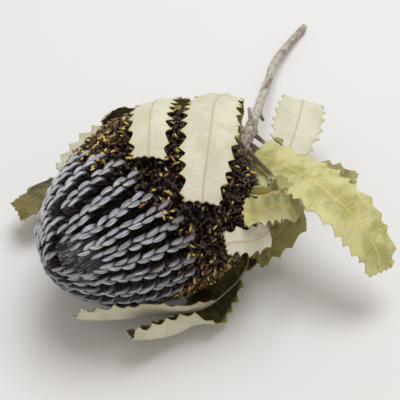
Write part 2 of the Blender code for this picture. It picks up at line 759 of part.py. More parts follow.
def make_leaf(leaf, collection):
    """One leaf: a toothed sheet laid out on its midrib, split into triangles and thickened."""
    frames = leaf_frames(leaf)
    columns = np.linspace(-1, 1, 2 * leaf.strips + 1)
    points = []
    for u, at_tip in leaf_stations(leaf, frames[-1]):
        width = float(half_width(leaf, u))
        depth = min(TOOTH_DEPTH, DEEPEST_TOOTH * width)
        reach = 1.0 if at_tip else 1 - depth / width
        points.extend(leaf_points(leaf, frames, u, columns * reach))
    across = len(columns)
    faces = []
    for i in range(len(points) // across - 1):
        for j in range(across - 1):
            corner = i * across + j
            faces.append((corner, corner + 1, corner + across + 1, corner + across))
    mesh = mesh_from(leaf.name, points, faces)
    form = bmesh.new()
    form.from_mesh(mesh)
    bmesh.ops.triangulate(form, faces=form.faces[:], quad_method="SHORT_EDGE")
    form.to_mesh(mesh)
    form.free()
    made = new_object(leaf.name, mesh, collection, new_material(leaf.name, leaf.colour, 0.6))
    thick = made.modifiers.new("thickness", "SOLIDIFY")
    thick.thickness = LEAF_THICKNESS * MM
    thick.offset = 0.0
    return made


def main():
    """Builds the head, the stem and every leaf."""
    for old in list(bpy.data.objects):
        bpy.data.objects.remove(old)
    parts = bpy.data.collections.new("firewood_banksia")
    cutters = bpy.data.collections.new("cutters")
    bpy.context.scene.collection.children.link(parts)
    bpy.context.scene.collection.children.link(cutters)
    draw = random.Random(7)
    make_grey_florets(parts, new_material("grey_florets", (0.30, 0.28, 0.32), 0.75))
    make_open_florets(parts, cutters, new_material("open_florets", (0.06, 0.03, 0.02), 0.6), draw)
    make_stem(parts, new_material("stem", (0.36, 0.30, 0.24), 0.8))
    for leaf in LEAVES:
        make_leaf(leaf, parts)


main()
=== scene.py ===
"""Looks of the dried firewood banksia: a cut flower head with its stem and toothed leaves.

Shapes are worked out in millimetres as whole numpy arrays and become metres in their meshes.
The head lies on its side, +X runs from its tip to the cut stem and +Z is up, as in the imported
model.
"""

from __future__ import annotations

import logging
import math
from dataclasses import dataclass, field
from enum import Enum

import bpy
import numpy as np
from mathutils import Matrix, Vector


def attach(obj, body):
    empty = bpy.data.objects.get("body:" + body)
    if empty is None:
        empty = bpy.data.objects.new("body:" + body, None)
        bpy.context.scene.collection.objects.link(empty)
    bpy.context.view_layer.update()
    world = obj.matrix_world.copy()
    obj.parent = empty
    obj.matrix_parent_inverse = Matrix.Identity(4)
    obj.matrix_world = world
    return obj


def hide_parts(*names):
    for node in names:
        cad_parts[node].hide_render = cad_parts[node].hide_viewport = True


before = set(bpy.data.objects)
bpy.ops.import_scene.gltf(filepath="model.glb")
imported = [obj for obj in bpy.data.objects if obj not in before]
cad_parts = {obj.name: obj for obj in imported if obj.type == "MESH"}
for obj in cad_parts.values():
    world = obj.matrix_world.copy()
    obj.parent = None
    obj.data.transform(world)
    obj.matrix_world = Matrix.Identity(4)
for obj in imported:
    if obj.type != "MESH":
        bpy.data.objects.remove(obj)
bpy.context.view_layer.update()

Array = np.ndarray
Socket = bpy.types.NodeSocket
LOG = logging.getLogger("banksia")
MM = 0.001
BODY = "root"
SEED = 11


def paint(red: int, green: int, blue: int) -> tuple[float, float, float, float]:
    """A colour given in screen values from 0 to 255, as the linear colour that a node takes."""
    screen = np.array([red, green, blue]) / 255
    linear = np.where(screen <= 0.04045, screen / 12.92, ((screen + 0.055) / 1.055) ** 2.4)
    return (*(float(c) for c in linear), 1.0)


def unit(vectors: Array) -> Array:
    """Vectors scaled to length one."""
    vectors = np.asarray(vectors, float)
    return vectors / np.linalg.norm(vectors, axis=-1, keepdims=True)


def dot(first: Array, second: Array) -> Array:
    """The inner product of vectors on the last axis, which is kept."""
    return np.sum(first * second, axis=-1, keepdims=True)


def ease(share: Array) -> Array:
    """A share from 0 to 1 that leaves and arrives slowly: 3 s squared less 2 s cubed."""
    share = np.clip(share, 0, 1)
    return share * share * (3 - 2 * share)


def read_table(at: Array, stations: Array, table: Array) -> Array:
    """Reads each column of a table at places between its stations."""
    return np.stack([np.interp(at, stations, column) for column in table.T], axis=-1)


def smooth_route(points: list, count: int, steps: int = 24) -> tuple[Array, float]:
    """A Catmull-Rom curve through points, read at even steps of its length.

    Args:
        points: The points that the curve passes.
        count: How many points to read.
        steps: How many points of the curve to work out between two given ones.

    Returns:
        The points read, and the curve's length.
    """
    points = np.asarray(points, float)
    around = np.vstack([2 * points[0] - points[1], points, 2 * points[-1] - points[-2]])
    t = np.linspace(0, 1, steps, endpoint=False)[None, :, None]
    a, b, c, d = (around[k:len(around) - 3 + k, None] for k in range(4))
    bend = (2 * a - 5 * b + 4 * c - d) * t**2 + (3 * b - a - 3 * c + d) * t**3
    curve = (0.5 * (2 * b + (c - a) * t + bend)).reshape(-1, 3)
    curve = np.vstack([curve, points[-1:]])
    lengths = np.linalg.norm(np.diff(curve, axis=0), axis=1)
    run = np.concatenate([[0.0], np.cumsum(lengths)])
    return read_table(np.linspace(0, run[-1], count), run, curve), float(run[-1])


@dataclass
class Shape:
    """Points, the faces between them, and the marks that a finish reads at each point.

    Attributes:
        points: One row for each point, in millimetres.
        faces: Tables of point numbers, each with one row for a face, counted from outside.
        marks: Values by name, one number or one vector for each point.
    """

    points: Array
    faces: list[Array]
    marks: dict[str, Array]

    @staticmethod
    def joined(shapes: list[Shape]) -> Shape:
        """Puts shapes that have the same marks together into one."""
        starts = np.cumsum([0] + [len(shape.points) for shape in shapes[:-1]])
        faces = [table + start for shape, start in zip(shapes, starts) for table in shape.faces]
        names = shapes[0].marks
        marks = {name: np.concatenate([shape.marks[name] for shape in shapes]) for name in names}
        return Shape(np.concatenate([shape.points for shape in shapes]), faces, marks)

    def on_the_floor(self) -> Shape:
        """Presses whatever would go below the floor flat on it."""
        self.points[:, 2] = np.maximum(self.points[:, 2], 0.0)
        return self


def rods(
    path: Array, outward: Array, width: Array, depth: Array, sides: int, chance: Array, keel: float = 0.0
) -> Shape:
    """Closed rods along many paths at once.

    A rod's ring at each inner point of its path is an ellipse: the point, plus width times the
    cosine of the turn across the path, plus depth times its sine outwards. A keel draws the
    ring out at the quarters of the turn and in halfway between them, as the cosine of four
    turns. The rod closes in a pole at each end of the path.

    Args:
        path: Points by rod and by place along it, shape (rods, places, 3).
        outward: For each rod the way that its back looks, shape (rods, 3).
        width: Half widths at the inner places, which fit (rods, places - 2).
        depth: Half depths at the inner places, which fit the same shape.
        sides: How many sides a rod has.
        chance: One number from 0 to 1 for each rod.
        keel: How much the ring is drawn out and in, as a share.

    Returns:
        The rods, with the mark strand, which holds the share along the rod, the rod's chance
        and how far outwards the point looks, and the mark girth, how far sideways it looks.
        All of them run from 0 to 1.
    """
    count, places = path.shape[:2]
    rings = places - 2
    heading = unit(np.gradient(path, axis=1))[:, 1:-1]
    across = unit(np.cross(outward[:, None], heading))
    back = np.cross(heading, across)
    turn = 2 * math.pi * np.arange(sides) / sides
    width = np.broadcast_to(width, (count, rings))[..., None, None]
    depth = np.broadcast_to(depth, (count, rings))[..., None, None]
    drawn = (1 + keel * np.cos(4 * turn))[:, None]
    ring = path[:, 1:-1, None] + width * drawn * np.cos(turn)[:, None] * across[:, :, None]
    ring = ring + depth * drawn * np.sin(turn)[:, None] * back[:, :, None]
    points = np.concatenate([path[:, :1], ring.reshape(count, -1, 3), path[:, -1:]], axis=1)
    steps = np.linalg.norm(np.diff(path, axis=1), axis=2)
    run = np.concatenate([np.zeros((count, 1)), np.cumsum(steps, axis=1)], axis=1)
    share = run / run[:, -1:]
    inner = np.repeat(share[:, 1:-1], sides, axis=1)
    along = np.concatenate([share[:, :1], inner, share[:, -1:]], axis=1)

    def around(values: Array) -> Array:
        """A value by turn from -1 to 1 as a mark from 0 to 1, with the poles half way."""
        ends = np.full((count, 1), 0.5)
        return np.concatenate([ends, np.tile(0.5 + 0.5 * values, (count, rings)), ends], axis=1)

    chances = np.broadcast_to(chance[:, None], along.shape)
    strand = np.stack([along, chances, around(np.sin(turn))], axis=-1).reshape(-1, 3)
    k = np.arange(sides)
    after = (k + 1) % sides
    level = sides * np.arange(rings - 1)[:, None] + 1
    quads = np.stack([level + k, level + after, level + sides + after, level + sides + k], axis=-1)
    last = sides * (rings - 1) + 1
    start_cap = np.stack([np.zeros_like(k), 1 + after, 1 + k], axis=-1)
    end_cap = np.stack([np.full_like(k, last + sides), last + k, last + after], axis=-1)
    first = (np.arange(count) * points.shape[1])[:, None, None]
    faces = [
        (first + quads.reshape(-1, 4)).reshape(-1, 4),
        (first + np.concatenate([start_cap, end_cap])).reshape(-1, 3),
    ]
    marks = {"strand": strand, "girth": around(np.cos(turn)).reshape(-1)}
    return Shape(points.reshape(-1, 3), faces, marks)


def make_piece(name: str, shape: Shape, material: bpy.types.Material, node: str) -> None:
    """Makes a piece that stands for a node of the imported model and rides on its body.

    Args:
        name: The piece's name.
        shape: Its points, faces and marks.
        material: Its finish.
        node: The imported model's node that it stands for.
    """
    mesh = bpy.data.meshes.new(name)
    faces = [face for table in shape.faces for face in table.tolist()]
    mesh.from_pydata((shape.points * MM).tolist(), [], faces)
    for mark, values in shape.marks.items():
        kind, part = ("FLOAT", "value") if values.ndim == 1 else ("FLOAT_VECTOR", "vector")
        layer = mesh.attributes.new(mark, kind, "POINT")
        layer.data.foreach_set(part, values.astype(np.float32).ravel())
    mesh.shade_smooth()
    mesh.materials.append(material)
    piece = bpy.data.objects.new(name, mesh)
    bpy.context.scene.collection.objects.link(piece)
    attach(piece, BODY)
    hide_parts(node)
    triangles = sum(len(table) * (table.shape[1] - 2) for table in shape.faces)
    LOG.info("%s: %d triangles, for %s", name, triangles, node)


class Wiring:
    """Adds nodes to a tree and links them, so that a finish reads in order."""

    def __init__(self, tree: bpy.types.NodeTree) -> None:
        """Starts on a node tree."""
        self.tree = tree

    def add(self, kind: str, values: dict | None = None, **settings: object) -> bpy.types.Node:
        """Adds a node.

        Args:
            kind: The node's type name.
            values: What each of its input sockets gets, a plain value or another socket.
            **settings: The node's own settings.

        Returns:
            The new node.
        """
        node = self.tree.nodes.new(kind)
        for name, value in settings.items():
            setattr(node, name, value)
        for socket, value in (values or {}).items():
            self.feed(node.inputs[socket], value)
        return node

    def feed(self, socket: Socket, value: object) -> None:
        """Gives a socket a plain value or links another socket to it."""
        if isinstance(value, bpy.types.NodeSocket):
            self.tree.links.new(value, socket)
        else:
            socket.default_value = value

    def sum(self, operation: str, first: object, second: object = 0.0) -> Socket:
        """The result of one Math node."""
        return self.add("ShaderNodeMath", {0: first, 1: second}, operation=operation).outputs[0]

    def spread(
        self, value: Socket, low: object, high: object, first: float = 0.0, last: float = 1.0
    ) -> Socket:
        """Turns the range from low to high into the range from first to last, eased."""
        values = {"Value": value, "From Min": low, "From Max": high, "To Min": first, "To Max": last}
        return self.add("ShaderNodeMapRange", values, interpolation_type="SMOOTHSTEP").outputs[0]

    def mix(self, share: object, first: object, second: object) -> Socket:
        """Mixes two colours by a share."""
        return self.add("ShaderNodeMix", {0: share, 6: first, 7: second}, data_type="RGBA").outputs[2]

    def tint(self, colour: object, mask: object, share: object, other: object) -> Socket:
        """Turns a colour to another one by a share of a mask."""
        return self.mix(self.sum("MULTIPLY", mask, share), colour, other)

    def noise(self, vector: Socket, scale: object, detail: float = 2.0) -> Socket:
        """A noise value at a vector."""
        values = {"Vector": vector, "Scale": scale, "Detail": detail}
        return self.add("ShaderNodeTexNoise", values).outputs[0]

    def mark(self, name: str) -> bpy.types.Node:
        """The node that reads one of the piece's marks."""
        return self.add("ShaderNodeAttribute", attribute_name=name, attribute_type="GEOMETRY")

    def split(self, vector: Socket) -> tuple[Socket, Socket, Socket]:
        """The three parts of a vector."""
        return tuple(self.add("ShaderNodeSeparateXYZ", {0: vector}).outputs)

    def joined(self, x: object, y: object, z: object) -> Socket:
        """A vector made of three parts."""
        return self.add("ShaderNodeCombineXYZ", {0: x, 1: y, 2: z}).outputs[0]

    def place(self) -> Socket:
        """The piece's own coordinates, in metres."""
        return self.add("ShaderNodeTexCoord").outputs["Object"]


class Effects:
    """Effects that several finishes share, each one node group with named inputs and outputs."""

    def __init__(self) -> None:
        """Builds every group once."""
        self.blotches = self._blotches()
        self.veins = self._veins()
        self.streaks = self._streaks()

    @staticmethod
    def _new(
        name: str, takes: dict[str, str], gives: list[str]
    ) -> tuple[bpy.types.NodeTree, Wiring, list, list]:
        """A new group.

        Args:
            name: The group's name.
            takes: Its inputs, each with the socket type that ends its type name.
            gives: Its outputs, all plain numbers.

        Returns:
            The group, its wiring, and the sockets to read from and to feed.
        """
        group = bpy.data.node_groups.new(name, "ShaderNodeTree")
        for title, kind in takes.items():
            group.interface.new_socket(title, in_out="INPUT", socket_type="NodeSocket" + kind)
        for title in gives:
            group.interface.new_socket(title, in_out="OUTPUT", socket_type="NodeSocketFloat")
        wiring = Wiring(group)
        start = wiring.add("NodeGroupInput")
        end = wiring.add("NodeGroupOutput")
        return group, wiring, list(start.outputs), list(end.inputs)

    def _blotches(self) -> bpy.types.NodeTree:
        """Soft patches: a noise whose middle range is stretched."""
        takes = {"Vector": "Vector", "Scale": "Float", "Low": "Float", "High": "Float"}
        group, wiring, read, feed = self._new("blotches", takes, ["Mask"])
        values = {"Vector": read[0], "Scale": read[1], "Detail": 4.0, "Roughness": 0.62}
        noise = wiring.add("ShaderNodeTexNoise", values).outputs[0]
        wiring.feed(feed[0], wiring.spread(noise, read[2], read[3]))
        return group

    def _veins(self) -> bpy.types.NodeTree:
        """A leaf's midrib and side veins, from places on its blade in millimetres.

        A side vein lies wherever the place along the leaf, less a lean times the distance from
        the midrib, is near a whole number of spacings. The midrib lies near the middle.
        """
        takes = {"Blade": "Vector", "Spacing": "Float", "Lean": "Float", "Rib": "Float"}
        group, wiring, read, feed = self._new("veins", takes, ["Side", "Midrib", "Net"])
        along, across, _ = wiring.split(read[0])
        away = wiring.sum("ABSOLUTE", across)
        wander = wiring.sum("MULTIPLY", wiring.noise(read[0], 0.07), 2.2)
        leaned = wiring.sum("SUBTRACT", along, wiring.sum("MULTIPLY", away, read[2]))
        run = wiring.sum("DIVIDE", wiring.sum("ADD", leaned, wander), read[1])
        beat = wiring.sum("PINGPONG", run, 0.5)
        wiring.feed(feed[0], wiring.spread(beat, 0.02, 0.2, 1.0, 0.0))
        rib = wiring.sum("DIVIDE", away, read[3])
        wiring.feed(feed[1], wiring.spread(rib, 0.55, 1.25, 1.0, 0.0))
        values = {"Vector": read[0], "Scale": 1.5}
        cells = wiring.add("ShaderNodeTexVoronoi", values, feature="DISTANCE_TO_EDGE")
        wiring.feed(feed[2], wiring.spread(cells.outputs[0], 0.0, 0.12, 1.0, 0.0))
        return group

    def _streaks(self) -> bpy.types.NodeTree:
        """Fine lines along a rod: a noise that changes fast around it and slowly along it."""
        takes = {"Strand": "Vector", "Girth": "Float", "Count": "Float", "Length": "Float"}
        group, wiring, read, feed = self._new("streaks", takes, ["Mask"])
        along, chance, outward = wiring.split(read[0])
        x = wiring.sum("MULTIPLY", read[1], read[2])
        y = wiring.sum("MULTIPLY", outward, read[2])
        drawn = wiring.sum("MULTIPLY", along, read[3])
        z = wiring.sum("ADD", drawn, wiring.sum("MULTIPLY", chance, 90.0))
        noise = wiring.noise(wiring.joined(x, y, z), 1.0, 3.0)
        wiring.feed(feed[0], wiring.spread(noise, 0.35, 0.65))
        return group


class Finish:
    """A material under way: its wiring, its shader and its last steps."""

    def __init__(self, name: str) -> None:
        """Starts a material that has only its shader."""
        self.material = bpy.data.materials.new(name)
        self.material.use_nodes = True
        self.wiring = Wiring(self.material.node_tree)
        self.shader = self.material.node_tree.nodes["Principled BSDF"]

    def group(self, tree: bpy.types.NodeTree, **values: object) -> bpy.types.Node:
        """Places a shared effect, with its inputs by name."""
        return self.wiring.add("ShaderNodeGroup", values, node_tree=tree)

    def done(self, colour: Socket, roughness: object, height: Socket, relief: float) -> bpy.types.Material:
        """Feeds the shader.

        Args:
            colour: The colour's socket.
            roughness: A number or a socket.
            height: The relief's socket, from 0 to 1.
            relief: How high a height of 1 stands, in millimetres.

        Returns:
            The material.
        """
        bump = self.wiring.add("ShaderNodeBump", {"Height": height, "Distance": relief * MM})
        self.wiring.feed(self.shader.inputs["Base Color"], colour)
        self.wiring.feed(self.shader.inputs["Roughness"], roughness)
        self.wiring.feed(self.shader.inputs["Normal"], bump.outputs[0])
        return self.material


@dataclass(frozen=True)
class StrandFinish:
    """The finish of a floret's part: a colour at its root, its middle and its end.

    Attributes:
        name: The material's name.
        root: The colour where it leaves the core, partly its own and partly painted shade deep in the head.
        middle: The colour half way.
        end: The colour of its end.
        stray: A colour that a few strands turn to.
        stray_share: How many do, as a share.
        from_share: Where along the strand the root's colour ends.
        to_share: Where the end's colour begins.
        roughness: The shader's roughness.
        relief: The height of the fine lines, in millimetres.
        shade: How far one side of the strand turns to the root's colour, a painted shade of its unlit side.
        rim: How far its other side turns to the end's colour, a painted highlight of its lit side.
        tinge: A colour that strands turn to by the head's brown part, or none.
        lines: How far the fine lines turn to the root's colour.
        line_count: How many lines there are across a strand, roughly.
        end_fade: The share of the strand over which the end's colour starts before to_share.
        core_side_tone_and_shade: How far the side that looks to the core turns to the root's colour, partly
            its own darker inner face and partly painted shade.
        tinge_runs: Where on X the tinge begins and is full, in millimetres.
        tinge_share: How far strands turn to the tinge.
        own_share: How far whole strands turn to the root's colour by chance.
    """

    name: str
    root: tuple
    middle: tuple
    end: tuple
    stray: tuple
    stray_share: float
    from_share: float = 0.45
    to_share: float = 0.8
    roughness: float = 0.6
    relief: float = 0.08
    shade: float = 0.0
    rim: float = 0.0
    tinge: tuple | None = None
    lines: float = 0.3
    line_count: float = 5.0
    end_fade: float = 0.15
    core_side_tone_and_shade: float = 0.85
    tinge_runs: tuple = (-26.0, -8.0)
    tinge_share: float = 0.7
    own_share: float = 0.25

    def material(self, effects: Effects) -> bpy.types.Material:
        """Builds the material."""
        finish = Finish(self.name)
        wiring = finish.wiring
        strand = wiring.mark("strand").outputs["Vector"]
        girth = wiring.mark("girth").outputs["Fac"]
        along, chance, outward = wiring.split(strand)
        streaks = finish.group(
            effects.streaks, Strand=strand, Girth=girth, Count=self.line_count, Length=2.0
        ).outputs[0]
        # Darker towards the root: partly the part's own darker base, partly painted shade deep in the head.
        colour = wiring.mix(wiring.spread(along, 0.0, self.from_share), self.root, self.middle)
        colour = wiring.mix(wiring.spread(along, self.to_share - self.end_fade, 1.0), colour, self.end)
        strayed = wiring.spread(chance, 1 - self.stray_share - 0.02, 1 - self.stray_share + 0.02)
        colour = wiring.mix(strayed, colour, self.stray)
        # The side that looks to the core darkens: partly its own darker inner face, partly painted shade.
        core_side_tone_and_shade = wiring.spread(outward, 0.15, 0.62, self.core_side_tone_and_shade, 0.0)
        colour = wiring.mix(core_side_tone_and_shade, colour, self.root)
        colour = wiring.mix(wiring.spread(streaks, 0.45, 0.95, 0.0, self.lines), colour, self.root)
        # Painted shade: one side turns to the root's colour as if unlit.
        colour = wiring.mix(wiring.spread(girth, 0.0, 0.35, self.shade, 0.0), colour, self.root)
        # Painted highlight: the other side, on its outer face and towards its end, turns to the end's colour.
        painted_highlight = wiring.spread(girth, 0.6, 0.85, 0.0, self.rim)
        painted_highlight = wiring.sum("MULTIPLY", painted_highlight, wiring.spread(along, 0.3, 0.6))
        colour = wiring.tint(colour, painted_highlight, wiring.spread(outward, 0.5, 0.7), self.end)
        if self.tinge is not None:
            along_head = wiring.split(wiring.place())[0]
            first, last = (run * MM for run in self.tinge_runs)
            near_brown = wiring.spread(along_head, first, last, 0.0, self.tinge_share)
            colour = wiring.mix(near_brown, colour, self.tinge)
        own = wiring.noise(wiring.joined(wiring.sum("MULTIPLY", chance, 77.0), 0.0, 0.0), 1.0)
        colour = wiring.mix(wiring.spread(own, 0.35, 0.75, 0.0, self.own_share), colour, self.root)
        return finish.done(colour, self.roughness, streaks, self.relief)


@dataclass(frozen=True)
class LeafFinish:
    """A leaf's finish, upper side and underside in one material.

    Attributes:
        name: The material's name.
        slot: The record's material slot; not used.
        upper: The upper side's colour.
        upper_patch: The colour of its blotches.
        upper_rib: The colour of its midrib and side veins.
        lower: The underside's colour.
        lower_patch: The colour of its blotches.
        lower_rib: The colour of its midrib.
        edge: The colour of the margin and the teeth.
        stalk: The colour of its stalk, which on the leaf under the front also runs onto the blade as painted
            shade.
        rib_share: How far the midrib on the upper side turns to its own colour.
        patch_low: The noise value where blotches begin.
        patch_high: The noise value where they are full.
        relief: The height of the veins, in millimetres.
    """

    name: str
    slot: str
    upper: tuple
    upper_patch: tuple
    upper_rib: tuple
    lower: tuple = paint(220, 216, 196)
    lower_patch: tuple = paint(188, 187, 156)
    lower_rib: tuple = paint(196, 180, 148)
    edge: tuple = paint(200, 186, 96)
    stalk: tuple = paint(78, 62, 44)
    rib_share: float = 0.8
    patch_low: float = 0.42
    patch_high: float = 0.62
    relief: float = 0.22

    def material(self, effects: Effects) -> bpy.types.Material:
        """Builds the material."""
        finish = Finish(self.name)
        wiring = finish.wiring
        blade = wiring.mark("blade").outputs["Vector"]
        margin = wiring.mark("margin").outputs["Fac"]
        side = wiring.split(blade)[2]
        under = wiring.spread(side, 0.4, 0.6)
        place = wiring.place()
        veins = finish.group(effects.veins, Blade=blade, Spacing=1.55, Lean=0.25, Rib=0.42)
        broad = finish.group(effects.veins, Blade=blade, Spacing=6.2, Lean=0.35, Rib=0.5)
        patches = finish.group(
            effects.blotches, Vector=place, Scale=75.0, Low=self.patch_low, High=self.patch_high
        ).outputs[0]
        specks = finish.group(effects.blotches, Vector=place, Scale=420.0, Low=0.5, High=0.75).outputs[0]
        rim = wiring.spread(margin, 0.72, 1.0)
        worn_rim = wiring.sum("MULTIPLY", rim, wiring.spread(patches, -0.3, 0.7))
        fine_vein, midrib, net = (veins.outputs[name] for name in ("Side", "Midrib", "Net"))
        broad_vein = broad.outputs["Side"]

        upper = wiring.mix(patches, self.upper, self.upper_patch)
        lower = self.lower
        for mask, share, colour in (
            (specks, 0.35, self.upper_rib),
            (fine_vein, 0.1, self.upper_rib),
            (broad_vein, 0.12, self.upper_rib),
            (worn_rim, 0.75, self.edge),
            (midrib, self.rib_share, self.upper_rib),
        ):
            upper = wiring.tint(upper, mask, share, colour)
        for mask, share, colour in (
            (patches, 0.5, self.lower_patch),
            (fine_vein, 0.16, self.lower_patch),
            (broad_vein, 0.08, self.lower_rib),
            (rim, 0.6, self.edge),
            (midrib, 0.9, self.lower_rib),
        ):
            lower = wiring.tint(lower, mask, share, colour)

        colour = wiring.mix(under, upper, lower)
        colour = wiring.tint(colour, wiring.mark("stalk").outputs["Fac"], 0.85, self.stalk)
        relief = wiring.sum("MULTIPLY", fine_vein, 0.45)
        relief = wiring.sum("ADD", relief, wiring.sum("MULTIPLY", broad_vein, 0.6))
        relief = wiring.sum("MULTIPLY", relief, wiring.spread(side, 0.4, 0.6, -0.7, 0.3))
        for mask, share in ((net, 0.2), (specks, 0.3)):
            relief = wiring.sum("ADD", relief, wiring.sum("MULTIPLY", mask, share))
        roughness = wiring.spread(side, 0.4, 0.6, 0.48, 0.8)
        return finish.done(colour, roughness, relief, self.relief)


class LeafTone(Enum):
    """The kinds of dried leaf."""

    PALE = LeafFinish(
        "leaf_pale", "leaf_pale_underside",
        upper=paint(150, 146, 84), upper_patch=paint(120, 116, 58), upper_rib=paint(196, 176, 96),
    )
    YELLOW_GREEN = LeafFinish(
        "leaf_yellow_green", "leaf_yellow_green",
        upper=paint(212, 208, 148), upper_patch=paint(170, 168, 98), upper_rib=paint(230, 204, 120),
        rib_share=0.55,
    )
    # Dark olive with wide dark blotches: partly these leaves' own colour, partly painted shade where the head
    # overhangs them.
    OLIVE = LeafFinish(
        "leaf_olive", "leaf_olive",
        upper=paint(114, 104, 44), upper_patch=paint(46, 41, 17), upper_rib=paint(146, 132, 72),
        rib_share=0.4, patch_low=0.38, patch_high=0.56,
    )
    DRY_OLIVE = LeafFinish(
        "leaf_dry_olive", "leaf_olive",
        upper=paint(178, 168, 106), upper_patch=paint(112, 104, 52), upper_rib=paint(196, 184, 120),
        rib_share=0.4,
    )


@dataclass(frozen=True)
class HeadForm:
    """The flower head's outer form: a turned body whose axis rises a little to the tip.

    A point lies on it where the square of its distance from the axis over the radius, plus
    its run over the length of its half to that half's power, makes one.
    """

    centre: Array = field(default_factory=lambda: np.array([0.0, 0.0, 37.5]))
    tilt: float = math.radians(2.0)
    radius: float = 37.8
    tip_length: float = 52.0
    tip_power: float = 1.6
    base_length: float = 42.0
    base_power: float = 2.6
    last_grey_run: float = 9.5
    open_bays: tuple = ((30, 45, 11.0), (-28, 17, 4.5), (-118, 18, 6.5))

    @property
    def to_tip(self) -> Array:
        """The axis, towards the tip."""
        return np.array([-math.cos(self.tilt), 0.0, math.sin(self.tilt)])

    @property
    def up(self) -> Array:
        """The way up that is square to the axis."""
        return np.array([math.sin(self.tilt), 0.0, math.cos(self.tilt)])

    def radius_at(self, run: Array, inset: float = 0.0) -> Array:
        """The distance from the axis at runs along it, for the form drawn in by an inset."""
        run = np.asarray(run, float)
        tip = 1 - np.clip(run / (self.tip_length - inset), 0, 1) ** self.tip_power
        base = 1 - np.clip(-run / (self.base_length - inset), 0, 1) ** self.base_power
        return (self.radius - inset) * np.sqrt(np.where(run >= 0, tip, base))

    def point(self, run: Array, angle: Array, inset: float = 0.0) -> Array:
        """Points at runs along the axis and angles round it, 0 on top and 90 degrees to +Y."""
        far = np.array([0.0, 1.0, 0.0])
        out = np.cos(angle)[..., None] * self.up + np.sin(angle)[..., None] * far
        return self.centre + run[..., None] * self.to_tip + self.radius_at(run, inset)[..., None] * out

    def place_of(self, points: Array) -> tuple[Array, Array]:
        """The run along the axis and the angle round it of points."""
        offset = points - self.centre
        return offset @ self.to_tip, np.arctan2(offset[..., 1], offset @ self.up)

    def settle(self, points: Array) -> tuple[Array, Array]:
        """Moves points to the surface, by a few steps along the slope of the form's equation.

        Args:
            points: Points near the surface.

        Returns:
            The points on the surface and the ways out of it there.
        """
        for _ in range(4):
            offset = points - self.centre
            run = offset @ self.to_tip
            radial = offset - run[..., None] * self.to_tip
            length = np.where(run >= 0, self.tip_length, self.base_length)
            power = np.where(run >= 0, self.tip_power, self.base_power)
            share = np.abs(run) / length
            excess = dot(radial, radial)[..., 0] / self.radius**2 + share**power - 1
            pull = power * share ** (power - 1) / length * np.sign(run)
            slope = 2 * radial / self.radius**2 + pull[..., None] * self.to_tip
            points = points - (excess / dot(slope, slope)[..., 0])[..., None] * slope
        return points, unit(slope)

    def raised(self, path: Array, height: Array) -> tuple[Array, Array]:
        """Paths laid on the surface and lifted by heights, and the ways out of it there."""
        surface, out = self.settle(path)
        return surface + height[..., None] * out, out

    def frames(self, run: Array, angle: Array) -> tuple[Array, Array, Array, Array]:
        """Points on the surface with the ways out, to the tip along it and across."""
        points, normal = self.settle(self.point(run, angle))
        out = points - self.centre
        across = unit(np.cross(self.to_tip, out))
        return points, normal, np.cross(normal, across), across

    def runs_at(self, arc: Array, first: float, last: float) -> Array:
        """The runs that lie at distances along the form's profile from its first run."""
        fine = np.linspace(first, last, 400)
        steps = np.hypot(np.diff(fine), np.diff(self.radius_at(fine)))
        return np.interp(arc, np.concatenate([[0.0], np.cumsum(steps)]), fine, right=np.nan)

    def last_grey(self, angle: Array) -> Array:
        """The run where the grey florets end: three bays of open ones reach towards the tip."""
        edge = np.full(np.shape(angle), self.last_grey_run)
        for at, half, rise in self.open_bays:
            away = np.degrees(np.angle(np.exp(1j * (angle - math.radians(at)))))
            edge = edge + rise * np.exp(-((away / half) ** 2))
        return edge

    def core(self, first: float, last: float, inset: float) -> Shape:
        """The turned core under the florets, closed at both ends.

        Args:
            first: Its run nearest to the base.
            last: Its run nearest to the tip.
            inset: How deep it lies under the outer form.

        Returns:
            The core, a rod along the axis with the form's own radius.
        """
        places = np.linspace(first, last, 40)
        path = self.centre + places[:, None] * self.to_tip
        radius = np.maximum(self.radius_at(places, inset)[1:-1], 0.4)
        return rods(path[None], self.up[None], radius, radius, 64, np.array([0.5]))


